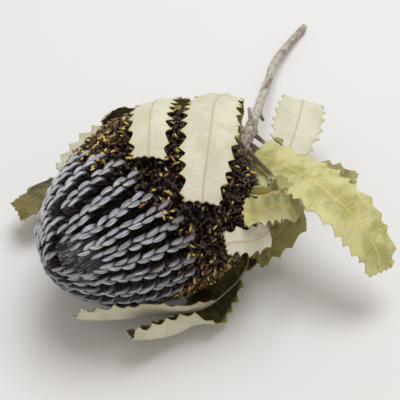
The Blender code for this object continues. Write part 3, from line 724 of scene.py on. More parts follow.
class Strand(Enum):
    """The finishes of the florets' parts and of the cores under them."""

    # The limbs' shade and rim paint shade on one side and a highlight on the other.
    GREY_LIMB = StrandFinish(
        "grey_limb", paint(30, 26, 34), paint(206, 207, 226), paint(255, 255, 255),
        paint(196, 182, 174), 0.03, from_share=0.5, to_share=0.7, roughness=0.38, relief=0.35,
        shade=0.6, rim=1.0, tinge=paint(136, 118, 122), lines=0.65,
    )
    GREY_COMB = StrandFinish(
        "grey_comb", paint(40, 31, 35), paint(136, 120, 130), paint(206, 194, 204),
        paint(110, 64, 60), 0.1, from_share=0.6, to_share=0.85, roughness=0.5,
    )
    # The tubes darken towards their deep ends, partly their own dark colour and partly painted shade.
    GREY_TUBE = StrandFinish(
        "grey_tube", paint(22, 16, 20), paint(60, 48, 56), paint(128, 114, 124),
        paint(96, 50, 50), 0.16, roughness=0.5,
    )
    GREY_SPOT = StrandFinish(
        "grey_spot", paint(44, 39, 43), paint(100, 96, 104), paint(168, 166, 176),
        paint(52, 44, 48), 0.4, roughness=0.5,
    )
    GREY_CORE = StrandFinish(
        "grey_core", paint(26, 20, 23), paint(34, 27, 31), paint(40, 30, 33),
        paint(40, 30, 33), 0.0, roughness=0.8,
    )
    # The straps' rim paints a highlight on one side.
    OPEN_STRAP = StrandFinish(
        "open_strap", paint(24, 14, 13), paint(72, 44, 36), paint(158, 122, 96),
        paint(184, 120, 62), 0.12, to_share=0.88, roughness=0.4, rim=0.4, lines=0.45, line_count=3.0,
    )
    OPEN_BEAD = StrandFinish(
        "open_bead", paint(184, 134, 50), paint(240, 208, 98), paint(255, 246, 184),
        paint(160, 112, 70), 0.18, from_share=0.25, roughness=0.4, lines=0.1,
    )
    OPEN_THREAD = StrandFinish(
        "open_thread", paint(44, 28, 24), paint(96, 70, 54), paint(170, 144, 108),
        paint(190, 182, 172), 0.2, roughness=0.5,
    )
    OPEN_CORE = StrandFinish(
        "open_core", paint(20, 13, 12), paint(24, 16, 14), paint(28, 18, 15),
        paint(28, 18, 15), 0.0, roughness=0.8,
    )


@dataclass
class Florets:
    """Florets of one kind: the head that they stand on and what their pieces stand for."""

    head: HeadForm
    node: str = ""
    slot: str = ""

    def dress(self, name: str, shape: Shape, strand: Strand, effects: Effects) -> None:
        """Makes one of the florets' pieces in its finish."""
        make_piece(name, shape, strand.value.material(effects), self.node)


@dataclass
class GreyFlorets(Florets):
    """The unopened florets: curved limbs in slanting double rows, on combs of dark tubes.

    Lengths are in millimetres. A limb follows the head's surface from its root to its tip. Its
    back rises steeply from its root depth, as the square of what is left of the share where the
    rise ends, and its tip rises a little, as the cube of the share along it. The tips of a
    double row's two lines turn away from it.

    Attributes:
        double_rows: How many double rows start at the first grey run.
        pair_pitch: How far apart a line's limbs are.
        line_gap: How far apart a double row's two lines are.
        limb_widths: A limb's half widths at its shares, as shares of the greatest.
        limb_depths: Its half depths at the inner ones, in the same way.
        tip_turn: How far a tip turns aside, as a share of the half width that it has lost.
        level: How deep a limb's middle lies under the head's outer form.
        room_for_all: The room beside a row under which every second row ends.
        room_for_half: The room under which three of four rows end.
        under_open: How far grey limbs go on under the open florets.
        gap_runs: Where on the head's axis a bare band by the tip starts and ends.
        gap_degrees: Where it starts and ends round the axis.
        comb_span: Where a comb's first and last tube stand, counted from the limb's root.
        comb_lift: How far a comb stands off the core.
        comb_top: How deep under the outer form it ends, before that lift.
    """

    node: str = "grey_florets"
    slot: str = "grey_floret"
    double_rows: int = 29
    first_row: float = math.radians(-4.9)
    pair_pitch: float = 5.3
    line_gap: float = 2.4
    mean_slant: float = math.radians(-0.5)
    slant_swing: float = math.radians(20.0)
    parting_angle: float = math.radians(-52.0)
    first_run: float = 0.0
    last_run: float = 51.0
    places_in_line: int = 16
    limb_length: float = 6.0
    limb_half_width: float = 0.98
    limb_half_depth: float = 0.74
    limb_shares: tuple = (0.0, 0.04, 0.14, 0.28, 0.48, 0.68, 0.84, 0.95, 1.0)
    limb_widths: tuple = (0.0, 0.66, 0.86, 0.99, 1.0, 0.9, 0.66, 0.32, 0.0)
    limb_depths: tuple = (0.7, 0.9, 1.0, 1.0, 0.9, 0.7, 0.4)
    limb_sides: int = 12
    limb_keel: float = -0.1
    heading_stray: float = math.radians(5.5)
    tip_turn: float = 0.7
    turn_from: float = 0.3
    rise_end: float = 0.45
    tip_rise: float = 0.25
    root_depth: float = 3.2
    level: float = 0.6
    room_for_all: float = 4.3
    room_for_half: float = 2.2
    under_open: float = 2.5
    bare_start: tuple = (-48.6, -4.5, 49.5)
    bare_end: tuple = (-42.8, -17.0, 47.4)
    bare_half_widths: tuple = (5.2, 2.8)
    bare_tube_count: int = 420
    gap_runs: tuple = (40.8, 43.6)
    gap_degrees: tuple = (-14.0, 40.0)
    comb_count: int = 9
    comb_span: tuple = (0.2, 5.4)
    comb_offset: float = 1.7
    comb_lean: float = 1.2
    comb_lift: float = 0.8
    comb_top: float = 2.0
    thread_count: int = 5
    thread_length: float = 6.5
    fine_radius: float = 0.22
    tube_radius: float = 0.42
    thread_roots: tuple = (-5.0, 1.0)
    thread_reach: float = 3.6
    bare_reach: float = 9.5
    bare_roots: tuple = (-12.0, -1.0)
    bare_length: float = 11.0
    core_first: float = 4.0
    core_inset: float = 8.0

    def slant(self, angle: Array) -> Array:
        """The rows' lean to the axis: a mean and a swing, the cubed sine from the parting."""
        return self.mean_slant + self.slant_swing * np.sin(angle - self.parting_angle) ** 3

    def drift(self, angle: Array, arc: Array) -> Array:
        """Follows rows along the head from its first grey run.

        Args:
            angle: The rows' angles at the start.
            arc: How far each is followed along the profile.

        Returns:
            The angles there, found by steps of the slant's tangent over the radius.
        """
        steps = 24
        for k in range(steps):
            run = self.head.runs_at(arc * k / steps, self.first_run, self.last_run)
            radius = np.maximum(self.head.radius_at(run), 6.0)
            angle = angle + np.tan(self.slant(angle)) * arc / steps / radius
        return angle

    def layout(self) -> tuple[Array, Array, Array]:
        """Where the limbs' roots are.

        Each row's places are a pitch apart along the profile, the second line of a row half
        a pitch on, and the rows' phases repeat every three rows. Where the rows come close,
        every second row ends, and then every second of those left.

        Returns:
            The runs, the angles and the numbers of the lines.
        """
        rows = np.arange(self.double_rows)
        places = np.arange(self.places_in_line)
        row, line, place = np.meshgrid(rows, [0, 1], places, indexing="ij")
        arc = (place + 0.5 * line + (row % 3) / 3) * self.pair_pitch
        run = self.head.runs_at(arc, self.first_run, self.last_run)
        radius = np.maximum(self.head.radius_at(np.nan_to_num(run)), 1.0)
        step = 2 * math.pi / self.double_rows
        start = self.first_row + step * row
        angle = self.drift(start, arc)
        nudge = 0.01
        room = (self.drift(start + nudge, arc) - angle) / nudge * step * radius
        angle = angle + (line - 0.5) * self.line_gap / radius
        thinned = np.where(room < self.room_for_half, 4, np.where(room < self.room_for_all, 2, 1))
        kept = np.isfinite(run) & (row % thinned == 0)
        kept &= np.nan_to_num(run) > self.head.last_grey(angle) - self.under_open
        return run[kept], angle[kept], line[kept]

    def build(self, effects: Effects, draw: np.random.Generator) -> None:
        """Makes the limbs, their tubes and the grey part of the core."""
        run, angle, line = self.layout()
        point, normal, along, across = self.head.frames(run, angle)
        local = self.slant(angle) + draw.normal(0.0, self.heading_stray, len(run))
        heading = np.cos(local)[:, None] * along + np.sin(local)[:, None] * across
        sideways = np.cross(normal, heading)
        side = 2.0 * line - 1.0
        limbs, shown = self.limbs(point, heading, sideways, side, draw)
        outer = (side[:, None] * sideways)[shown]
        combs = self.combs(point[shown], heading[shown], outer, draw)
        tubes = Shape.joined([
            self.tubes(point, heading, sideways, draw),
            self.threads(point, heading, sideways, draw),
        ])
        spot = self.bare_tubes(draw)
        core_last = self.head.tip_length - self.core_inset
        core = self.head.core(self.core_first, core_last, self.core_inset)
        self.dress("grey_limbs", limbs, Strand.GREY_LIMB, effects)
        self.dress("grey_combs", combs, Strand.GREY_COMB, effects)
        self.dress("grey_tubes", tubes, Strand.GREY_TUBE, effects)
        self.dress("grey_spot", spot, Strand.GREY_SPOT, effects)
        self.dress("grey_core", core, Strand.GREY_CORE, effects)

    def limbs(
        self, point: Array, heading: Array, sideways: Array, side: Array, draw: np.random.Generator
    ) -> tuple[Shape, Array]:
        """The limbs.

        A limb narrows to its tip, and its path moves sideways by its turn times what its half
        width has lost, so that its outer edge is straighter than its inner edge. Limbs are
        smaller where the head is slimmer.

        Args:
            point: Their roots' places on the head's surface.
            heading: Their ways to their tips.
            sideways: The ways across them.
            side: Which way each one's tip turns, 1 or -1.
            draw: The source of chance.

        Returns:
            The limbs, and which of the roots have one.
        """
        count = len(point)
        share, width, depth = (
            np.array(table) for table in (self.limb_shares, self.limb_widths, self.limb_depths)
        )
        middle = len(share) // 2
        length = self.limb_length * draw.normal(1.0, 0.05, (count, 1, 1))
        size = draw.normal(1.0, 0.06, (count, 1))
        turned = np.where(share > self.turn_from, 1 - width, 0.0) * self.limb_half_width * self.tip_turn
        bend = side[:, None, None] * turned[:, None]
        bend = bend + draw.normal(0.0, 0.22, (count, 1, 1)) * (share * share)[:, None]
        start = point + draw.normal(0.0, 0.16, (count, 1)) * sideways
        start = start + draw.normal(0.0, 0.35, (count, 1)) * heading
        path = start[:, None] + length * share[:, None] * heading[:, None] + bend * sideways[:, None]
        surface, out = self.head.settle(path)
        rise = self.root_depth * np.clip(1 - share / self.rise_end, 0, 1) ** 2
        height = -self.level - rise + self.tip_rise * share**3
        height = height + draw.normal(0.0, 0.22, (count, 1))
        shown = ~self.in_bare_spot(surface[:, middle]) & ~self.in_bare_band(surface[:, middle])
        path = surface + height[..., None] * out
        radius = self.head.radius_at(self.head.place_of(point)[0])
        size = size * np.clip(0.6 + 0.4 * radius / 26, 0.65, 1.0)[:, None]
        made = rods(
            path[shown], out[shown, middle], (self.limb_half_width * width[1:-1] * size)[shown],
            (self.limb_half_depth * depth * size)[shown], self.limb_sides,
            draw.random(int(shown.sum())), self.limb_keel,
        )
        return made, shown

    def in_bare_spot(self, points: Array) -> Array:
        """Whether points lie in the smooth spot, a strip that narrows from its start to its end."""
        start, end = np.array(self.bare_start), np.array(self.bare_end)
        way = end - start
        share = np.clip((points - start) @ way / (way @ way), 0, 1)
        away = np.linalg.norm(points - start - share[:, None] * way, axis=1)
        return away < np.interp(share, [0, 1], self.bare_half_widths)

    def in_bare_band(self, points: Array) -> Array:
        """Whether points lie in the bare band just before the tip."""
        run, angle = self.head.place_of(points)
        within = [
            (value > low) & (value < high)
            for value, (low, high) in ((run, self.gap_runs), (np.degrees(angle), self.gap_degrees))
        ]
        return within[0] & within[1]

    def combs(self, point: Array, heading: Array, outer: Array, draw: np.random.Generator) -> Shape:
        """A comb of fine upright tubes under each limb's outer side, from the core up."""
        each = self.comb_count
        at = np.tile(np.linspace(*self.comb_span, each), len(point))[:, None]
        point, heading, outer = (np.repeat(table, each, axis=0) for table in (point, heading, outer))
        count = len(point)
        foot = point + (at + draw.normal(0.0, 0.25, (count, 1))) * heading
        foot = foot + draw.normal(self.comb_offset, 0.4, (count, 1)) * outer
        share = np.array([0.0, 0.1, 0.5, 0.9, 1.0])
        sway = draw.normal(0.0, 0.35, (count, 1, 1)) * share[:, None] * heading[:, None]
        lean = self.comb_lean * share[:, None] * outer[:, None]
        height = self.comb_lift - self.core_inset + (self.core_inset - self.comb_top) * share
        path, _ = self.head.raised(foot[:, None] + sway - lean, height)
        return rods(path, heading, self.fine_radius, self.fine_radius, 4, draw.random(count))

    def tubes(self, point: Array, heading: Array, sideways: Array, draw: np.random.Generator) -> Shape:
        """One tube under each limb, from the limb's root down and back into the core."""
        count = len(point)
        share = np.array([0.0, 0.08, 0.35, 0.7, 1.0])
        path = point[:, None] + (1.2 - 4.6 * share)[:, None] * heading[:, None]
        path = path + draw.normal(0.0, 0.45, (count, 1, 1)) * (0.4 + share)[:, None] * sideways[:, None]
        height = -self.level - self.root_depth - 0.1 - 6.0 * share**1.15
        path, out = self.head.raised(path, height)
        radius = self.tube_radius
        return rods(path[:, ::-1], out[:, 2], radius, radius, 6, draw.random(count))

    def threads(self, point: Array, heading: Array, sideways: Array, draw: np.random.Generator) -> Shape:
        """Fine tubes that cross the dark gaps between the rows, a few for each root."""
        point, heading, sideways = (
            np.repeat(table, self.thread_count, axis=0) for table in (point, heading, sideways)
        )
        count = len(point)
        share = np.array([0.0, 0.1, 0.4, 0.75, 1.0])
        reach = self.thread_reach
        start = point + draw.uniform(-reach, reach, (count, 1)) * sideways
        start = start + draw.uniform(*self.thread_roots, (count, 1)) * heading
        sway = draw.normal(0.0, 0.7, (count, 1, 1)) * share[:, None]
        ahead = self.thread_length * share[:, None] * heading[:, None]
        height = -7.8 + draw.uniform(1.8, 6.2, (count, 1)) * share
        path, out = self.head.raised(start[:, None] + ahead + sway * sideways[:, None], height)
        return rods(path, out[:, 2], self.fine_radius, self.fine_radius, 4, draw.random(count))

    def bare_tubes(self, draw: np.random.Generator) -> Shape:
        """The smooth spot by the tip: fine tubes pressed side by side, with no limbs over them."""
        count = self.bare_tube_count
        centre = np.array([self.bare_start]) * 0.5 + np.array([self.bare_end]) * 0.5
        _, normal = self.head.settle(centre)
        aim = unit(self.head.to_tip - dot(self.head.to_tip, normal) * normal)
        side = np.cross(normal, aim)
        share = np.array([0.0, 0.06, 0.3, 0.6, 0.9, 1.0])
        reach = self.bare_reach
        start = centre + draw.uniform(-reach, reach, (count, 1)) * side
        start = start + draw.uniform(*self.bare_roots, (count, 1)) * aim
        drift = draw.normal(0.12, 0.06, (count, 1, 1))
        path = start[:, None] + self.bare_length * share[:, None] * (aim + drift * side)
        height = -3.4 + draw.uniform(0.2, 1.1, (count, 1)) * np.sin(share * math.pi / 2)
        path, out = self.head.raised(path, height)
        return rods(path, out[:, 2], self.tube_radius, 0.35, 5, draw.random(count))


@dataclass
class OpenFlorets(Florets):
    """The open florets round the base: curled dark straps, golden beads and fine threads.

    A strap rises from the core as the sine of its length and curls over as the square of it.
    Lengths are in millimetres.

    Attributes:
        gold_share: How many straps bear a bead, as a share.
        gold_places: Angles round the head with more of them, in degrees, each with the half
            width of the place and the share that it adds.
        less_gold_run: The run towards the base where they begin to be fewer.
        overlap: How far the florets go on past the border with the grey ones.
    """

    node: str = "open_florets"
    slot: str = "open_floret"
    first_run: float = -41.3
    last_run: float = 26.0
    pitch: float = 2.15
    strap_reach: float = 2.5
    strap_half_width: float = 0.72
    strap_half_depth: float = 0.34
    bead_half_width: float = 0.5
    gold_share: float = 0.22
    gold_places: tuple = ((38.0, 34.0, 0.4), (-112.0, 16.0, 0.4))
    less_gold_run: float = -20.0
    thread_pitch: float = 2.7
    thread_radius: float = 0.26
    strap_root: float = 5.5
    thread_root: float = 4.5
    core_last: float = 11.0
    core_inset: float = 4.6
    overlap: float = 4.5

    def layout(self, draw: np.random.Generator, pitch: float) -> tuple[Array, Array]:
        """Places a pitch apart all over the base's surface, each moved a little by chance."""
        arcs = np.arange(0.0, 90.0, pitch)
        runs = self.head.runs_at(arcs, self.first_run, self.last_run)
        runs = runs[np.isfinite(runs)]
        counts = np.maximum(1, np.round(2 * math.pi * self.head.radius_at(runs) / pitch)).astype(int)
        level = np.repeat(np.arange(len(runs)), counts)
        place = np.arange(counts.sum()) - np.repeat(np.cumsum(counts) - counts, counts)
        stray = draw.uniform(-0.4, 0.4, (2, len(level))) * pitch
        angle = 2 * math.pi * (place + 0.5 * (level % 2)) / counts[level] + stray[0] / self.head.radius
        run = np.maximum(runs[level] + stray[1], self.first_run)
        kept = run < self.head.last_grey(angle) + self.overlap
        return run[kept], angle[kept]

    def build(self, effects: Effects, draw: np.random.Generator) -> None:
        """Makes the straps, the beads on their ends, the threads and the brown part of the core."""
        straps, beads, threads = self.straps(draw)
        core_first = 1.0 - self.head.base_length + self.core_inset
        core = self.head.core(core_first, self.core_last, self.core_inset)
        self.dress("open_straps", straps.on_the_floor(), Strand.OPEN_STRAP, effects)
        self.dress("open_beads", beads.on_the_floor(), Strand.OPEN_BEAD, effects)
        self.dress("open_threads", threads.on_the_floor(), Strand.OPEN_THREAD, effects)
        self.dress("open_core", core.on_the_floor(), Strand.OPEN_CORE, effects)

    def straps(self, draw: np.random.Generator) -> tuple[Shape, Shape, Shape]:
        """The straps, with beads on the ends of some and threads beside them."""
        run, angle = self.layout(draw, self.pitch)
        point, normal, along, across = self.head.frames(run, angle)
        count = len(run)
        lean = draw.uniform(0, 2 * math.pi, (count, 1))
        reach = self.strap_reach * draw.uniform(0.5, 1.2, (count, 1))
        towards = unit(np.cos(lean) * along + np.sin(lean) * across + 0.5 * along)
        share = np.array([0.0, 0.08, 0.4, 0.72, 0.93, 1.0])
        over = draw.uniform(-2.4, 0.4, (count, 1))
        rise = (self.strap_root + over) * np.sin(share * math.pi / 2)
        height = -self.strap_root + rise - 0.6 * share**4
        path = point[:, None] + (share**2)[:, None] * (reach * towards)[:, None]
        path = path + height[..., None] * normal[:, None]
        width = self.strap_half_width * np.array([0.5, 0.85, 1.0, 0.7])
        straps = rods(
            path, towards, draw.uniform(0.75, 1.3, (count, 1)) * width,
            self.strap_half_depth * np.array([0.8, 0.9, 1.0, 0.8]), 6, draw.random(count),
        )
        golden = draw.random(count) < self.share_of_gold(angle, run)
        beads = self.beads(path[golden, -1], towards[golden], normal[golden], draw)
        return straps, beads, self.threads(draw)

    def share_of_gold(self, angle: Array, run: Array) -> Array:
        """How many straps bear a bead: most on the far side and in the fringe low in front."""
        degrees = np.degrees(np.angle(np.exp(1j * angle)))
        share = np.full(len(angle), self.gold_share)
        for at, half, more in self.gold_places:
            share = share + more * np.exp(-(((degrees - at) / half) ** 2))
        return share - 0.08 * (run < self.less_gold_run)

    def beads(self, end: Array, towards: Array, normal: Array, draw: np.random.Generator) -> Shape:
        """Egg-shaped beads that sit on the straps' ends."""
        count = len(end)
        share = np.array([0.0, 0.08, 0.35, 0.7, 0.94, 1.0])
        tip = unit(towards + draw.normal(0.4, 0.5, (count, 1)) * normal)
        length = draw.uniform(1.8, 3.2, (count, 1, 1))
        path = (end - 0.6 * tip)[:, None] + length * share[:, None] * tip[:, None]
        width = self.bead_half_width * np.array([0.6, 1.0, 0.8, 0.35])
        outward = unit(normal + 0.01 * towards)
        return rods(path, outward, width, width, 5, draw.random(count))

    def threads(self, draw: np.random.Generator) -> Shape:
        """Fine curved threads that stand among the straps."""
        run, angle = self.layout(draw, self.thread_pitch)
        point, normal, along, across = self.head.frames(run, angle)
        count = len(run)
        lean = draw.uniform(0, 2 * math.pi, (count, 1))
        towards = np.cos(lean) * along + np.sin(lean) * across
        share = np.array([0.0, 0.1, 0.4, 0.7, 0.92, 1.0])
        over = draw.uniform(-1.0, 0.5, (count, 1))
        height = -self.thread_root + (self.thread_root + over) * np.sin(share * math.pi / 2)
        reach = draw.uniform(1.5, 4.2, (count, 1, 1))
        path = point[:, None] + reach * (share**1.8)[:, None] * towards[:, None]
        path = path + height[..., None] * normal[:, None]
        return rods(path, towards, self.thread_radius, self.thread_radius, 4, draw.random(count))


@dataclass
class Stem:
    """The cut stem, from the head's base to the end that lies on the surface, with old stubs."""

    route: tuple = (
        (40.6, 0.0, 36.08), (44.5, 0.1, 35.95), (49.0, 2.7, 36.2), (56.0, 7.5, 35.4),
        (67.0, 15.0, 31.5), (82.0, 26.0, 25.5), (98.0, 38.0, 19.5), (114.0, 50.0, 14.0),
        (130.0, 62.0, 9.5), (152.0, 73.0, 5.2), (175.0, 82.0, 2.0),
    )
    radius_runs: tuple = (0.0, 6.0, 25.0, 40.0, 80.0, 170.0)
    radii: tuple = (4.2, 3.6, 2.8, 2.2, 2.0, 1.8)
    stubs: tuple = ((34.0, 20.0), (52.0, 205.0), (76.0, 340.0))
    stub_length: float = 7.0
    stub_radii: tuple = (1.2, 1.1, 0.95, 0.85, 0.7)
    stub_lean: float = 0.5
    stub_root: float = 1.6
    scars: tuple = (20, 34, 52, 76, 104, 131, 158)
    ridges: tuple = ((3, 9.0, 0.04), (7, -5.0, 0.025))
    scale_count: int = 60
    scale_stations: tuple = (1.0, 27.0)
    scale_half_widths: tuple = (0.9, 1.3, 1.1, 0.5)
    stations: int = 150
    sides: int = 24

    def beside(self, station: float, angle: float, lift: float) -> tuple[Array, Array, Array]:
        """A place beside the stem.

        Args:
            station: How far along the stem, in millimetres.
            angle: Where round it, in degrees, 0 above and 90 on the far side.
            lift: How far off its surface.

        Returns:
            The place, the way out to it and the stem's own way there.
        """
        samples = 30
        points, length = smooth_route(self.route, samples)
        run = np.linspace(0, length, samples)
        centre = read_table(station, run, points)
        heading = unit(read_table(station + 2.0, run, points) - centre)
        far = unit(np.cross([0.0, 0.0, 1.0], heading))
        turn = math.radians(angle)
        out = math.cos(turn) * np.cross(heading, far) + math.sin(turn) * far
        radius = float(np.interp(station, self.radius_runs, self.radii))
        return centre + (radius + lift) * out, out, heading

    def build(self, effects: Effects, draw: np.random.Generator) -> None:
        """Makes the stem with its bark, its stubs and the small scales by the head."""
        shapes = [self.trunk(), self.old_stubs(), self.scales(draw)]
        finish = Finish("stem_bark")
        wiring = finish.wiring
        place = wiring.place()
        strand = wiring.mark("strand").outputs["Vector"]
        girth = wiring.mark("girth").outputs["Fac"]
        along = wiring.split(strand)[0]
        streaks = finish.group(
            effects.streaks, Strand=strand, Girth=girth, Count=7.0, Length=30.0
        ).outputs[0]
        patches = finish.group(
            effects.blotches, Vector=place, Scale=160.0, Low=0.45, High=0.62
        ).outputs[0]
        bark = wiring.mix(patches, paint(206, 198, 188), paint(158, 144, 130))
        bark = wiring.tint(bark, streaks, 0.45, paint(136, 120, 106))
        bark = wiring.mix(wiring.spread(along, 0.02, 0.2, 0.6, 0.0), bark, paint(128, 108, 90))
        height = wiring.sum("ADD", streaks, wiring.sum("MULTIPLY", patches, 0.5))
        material = finish.done(bark, 0.78, height, 0.2)
        make_piece("stem_bark", Shape.joined(shapes).on_the_floor(), material, "stem")

    def trunk(self) -> Shape:
        """The stem itself: its radius swells by ridges that wind round it and at old scars."""
        points, length = smooth_route(self.route, self.stations)
        run = np.linspace(0, length, self.stations)[1:-1]
        radius = np.interp(run, self.radius_runs, self.radii)
        scars = sum(np.exp(-(((run - at) / 2.0) ** 2)) for at in self.scars)
        radius = radius * (0.97 + 0.12 * scars)
        up = np.array([[0.0, 0.0, 1.0]])
        made = rods(points[None], up, radius, radius, self.sides, np.array([0.3]))
        turn = 2 * math.pi * np.arange(self.sides) / self.sides
        ridges = sum(
            np.sin(beats * turn + run[:, None] / pace) * height for beats, pace, height in self.ridges
        )
        centre = np.repeat(points[1:-1], self.sides, axis=0)
        made.points[1:-1] = centre + (made.points[1:-1] - centre) * (1 + ridges.reshape(-1, 1))
        return made

    def old_stubs(self) -> Shape:
        """Stubs of old leaf stalks, each a tapered rod with a blunt end."""
        places = [self.beside(station, angle, -self.stub_root) for station, angle in self.stubs]
        start, out, heading = (np.array([place[k] for place in places]) for k in range(3))
        way = unit(out + self.stub_lean * heading)
        share = np.array([0.0, 0.05, 0.3, 0.6, 0.85, 0.97, 1.0])
        path = start[:, None] + self.stub_length * share[:, None] * way[:, None]
        width = np.array(self.stub_radii)
        outward = unit(heading - self.stub_lean * out)
        return rods(path, outward, width, width, 8, np.array([0.2, 0.5, 0.8]))

    def scales(self, draw: np.random.Generator) -> Shape:
        """Small dry scales pressed to the stem where the leaves leave it."""
        count = self.scale_count
        station = draw.uniform(*self.scale_stations, count)
        angle = draw.uniform(0.0, 360.0, count)
        places = [self.beside(s, a, 0.0) for s, a in zip(station, angle)]
        start, out, heading = (np.array([place[k] for place in places]) for k in range(3))
        share = np.array([0.0, 0.1, 0.4, 0.75, 0.95, 1.0])
        length = draw.uniform(3.0, 5.5, (count, 1, 1))
        rise = draw.uniform(0.3, 1.6, (count, 1, 1)) * (share**1.5)[:, None]
        path = start[:, None] + length * share[:, None] * heading[:, None] + rise * out[:, None]
        width = np.array(self.scale_half_widths)
        return rods(path, out, width, 0.35 * width, 6, draw.random(count))


@dataclass
class ToothedLeaf:
    """One toothed leaf: its stalk's place on the stem, its midrib's route and how it folds.

    Lengths are in millimetres and folds in degrees. A face is the way that the upper side
    looks in, and the faces are spread evenly along the midrib. Left and right are those of
    a walker who goes from the stalk to the end on the upper side. A right lobe widens the
    right half round one place, by a bell curve of the share along the leaf.

    Attributes:
        station: How far along the stem the leaf stands.
        angle: Where round the stem, 0 above and 90 on the far side.
        half_width: Half of the greatest width.
        left_fold: How far the left half folds up at the blade's start and at its end.
        right_fold: The same for the right half.
        left_roll: How far the left half rolls on from its fold to its margin.
        stalk: The share of the length where the blade begins.
        end: The width of the end, as a share of the greatest.
        swell: The power by which the blade swells from the stalk.
        fold_between: Shares of the blade between which the folds and the roll change.
        stalk_lift: How far off the stem's surface the midrib starts.
        end_power: The power by which the width closes to the end.
        tooth_lean: Where in a tooth its tip is, as a share of its pitch.
        deepest_tooth: The greatest depth of a tooth, as a share of the half width.
        wave: How high the margin ripples.
    """

    name: str
    station: float
    angle: float
    route: list
    faces: list
    half_width: float
    tone: LeafTone
    left_fold: tuple = (0.0, 0.0)
    right_fold: tuple = (0.0, 0.0)
    left_roll: float = 0.0
    stalk: float = 0.1
    end: float = 0.6
    swell: float = 0.75
    fold_between: tuple = (0.0, 1.0)
    stalk_lift: float = 0.8
    stalk_half_width: float = 0.8
    stalk_fade: float = 0.08
    right_lobe: float = 0.0
    lobe_at: float = 0.2
    lobe_reach: float = 0.12
    widest_at: float = 0.66
    end_power: float = 2.2
    tooth_pitch: float = 6.2
    tooth_depth: float = 2.4
    tooth_lean: float = 0.7
    deepest_tooth: float = 0.35
    thickness: float = 0.6
    stalk_swelling: float = 1.3
    end_teeth: float = 0.07
    wave: float = 0.45
    wave_paces: tuple = (2.6, 3.1)

    def blade_half_width(self, u: Array) -> Array:
        """Half of the leaf's width at shares of its length, at the tips of its teeth.

        It swells from the stalk as a quarter sine to a power and closes to the end as one
        less a power of the rest.
        """
        rise = np.clip((u - self.stalk) / (self.widest_at - self.stalk), 0, 1)
        fall = np.clip((u - self.widest_at) / (1 - self.widest_at), 0, 1)
        swelling = np.sin(rise * math.pi / 2) ** self.swell
        closing = 1 - (1 - self.end) * fall**self.end_power
        blade = self.half_width * np.where(u < self.widest_at, swelling, closing)
        return np.maximum(blade, self.stalk_half_width)

    def tooth_shares(self, length: float) -> tuple[Array, Array]:
        """The stations along the leaf and how far each is up a tooth.

        A tooth rises to its tip as its share of the way to a power of 1.5 and drops behind
        the tip in the same way, so that its sides are hollow and its tip is sharp.

        Args:
            length: The leaf's length.

        Returns:
            Shares of the length, and the teeth's rise from 0 to 1 at each.
        """
        count = max(3, round(length * (1 - self.stalk) / self.tooth_pitch))
        pitch = (1 - self.stalk) / count
        lean = self.tooth_lean
        steps = np.array([0.0, 0.14, 0.28, 0.42, 0.54, 0.63, lean, 0.76, 0.86])
        rise = np.where(steps <= lean, steps / lean, (1 - steps) / (1 - lean))
        stations = (self.stalk + pitch * (np.arange(count)[:, None] + steps)).ravel()
        teeth = np.tile(rise**1.5, count)
        stalk = np.linspace(0, self.stalk, 8)[:-1]
        teeth[stations < self.stalk + pitch * 0.45] = 1.0
        return np.concatenate([stalk, stations, [1.0]]), np.concatenate([np.ones(7), teeth, [0.8]])

    def surface(self, stem: Stem, draw: np.random.Generator) -> Shape:
        """The leaf as one closed skin.

        The blade is a function of a share u of the length and a share v of the width: the
        midrib's point, plus an arc that leaves it at the fold's angle and turns by the roll.
        Each margin's teeth stray by chance. The upper and the lower skin stand half the
        thickness off the blade, and the underside has a raised midrib.

        Args:
            stem: The stem that the leaf grows on.
            draw: The source of chance.

        Returns:
            The skin, with the mark blade, which holds the places along and across in
            millimetres and the side, and the marks margin, the share from midrib to margin,
            and stalk, 1 on the stalk and 0 on the blade.
        """
        start = stem.beside(self.station, self.angle, self.stalk_lift)[0]
        samples = np.linspace(0, 1, 201)
        midrib, length = smooth_route([tuple(start)] + self.route, len(samples))
        faces = np.asarray(self.faces, float)
        upper = read_table(samples, np.linspace(0, 1, len(faces)), faces)
        heading = unit(np.gradient(midrib, axis=0))
        upper = unit(upper - dot(upper, heading) * heading)
        right = np.cross(heading, upper)

        stations, teeth = self.tooth_shares(length)
        v = np.array([-1, -0.97, -0.9, -0.8, -0.68, -0.55, -0.42, -0.3, -0.19, -0.1, -0.04])
        v = np.concatenate([v, [0.0], -v[::-1]])[None]
        left = v < 0
        knots = np.linspace(0, 1, max(4, round(length / self.tooth_pitch)))
        stray = draw.uniform(-0.28, 0.28, (2, len(knots))) * self.tooth_pitch / length
        deeper = draw.uniform(0.65, 1.2, (2, len(knots)))

        def by_side(table: Array) -> Array:
            """Values by station: the first row's left of the midrib, the second's right."""
            return np.where(left, *(np.interp(stations, knots, row)[:, None] for row in table))

        u = stations[:, None] + by_side(stray) * v**2 * ease((stations[:, None] - self.stalk) / 0.1)
        notches = np.abs(((np.abs(v) * 2.6 + 0.25) % 1) - 0.35) * 1.4
        near_end = ease((stations[:, None] - (1 - self.end_teeth)) / self.end_teeth)
        u = u - near_end * notches * self.tooth_depth * 0.7 / length
        u = np.clip(u, 0, 1)
        width = self.blade_half_width(u)
        bell = np.exp(-(((u - self.lobe_at) / self.lobe_reach) ** 2))
        width = width * np.where(left, 1.0, 1 + self.right_lobe * bell)
        depth = np.minimum(self.tooth_depth * by_side(deeper), self.deepest_tooth * width)
        reach = 1 - (1 - teeth[:, None]) * depth / width
        v = v * (1 - (1 - reach) * np.abs(v) ** 3)

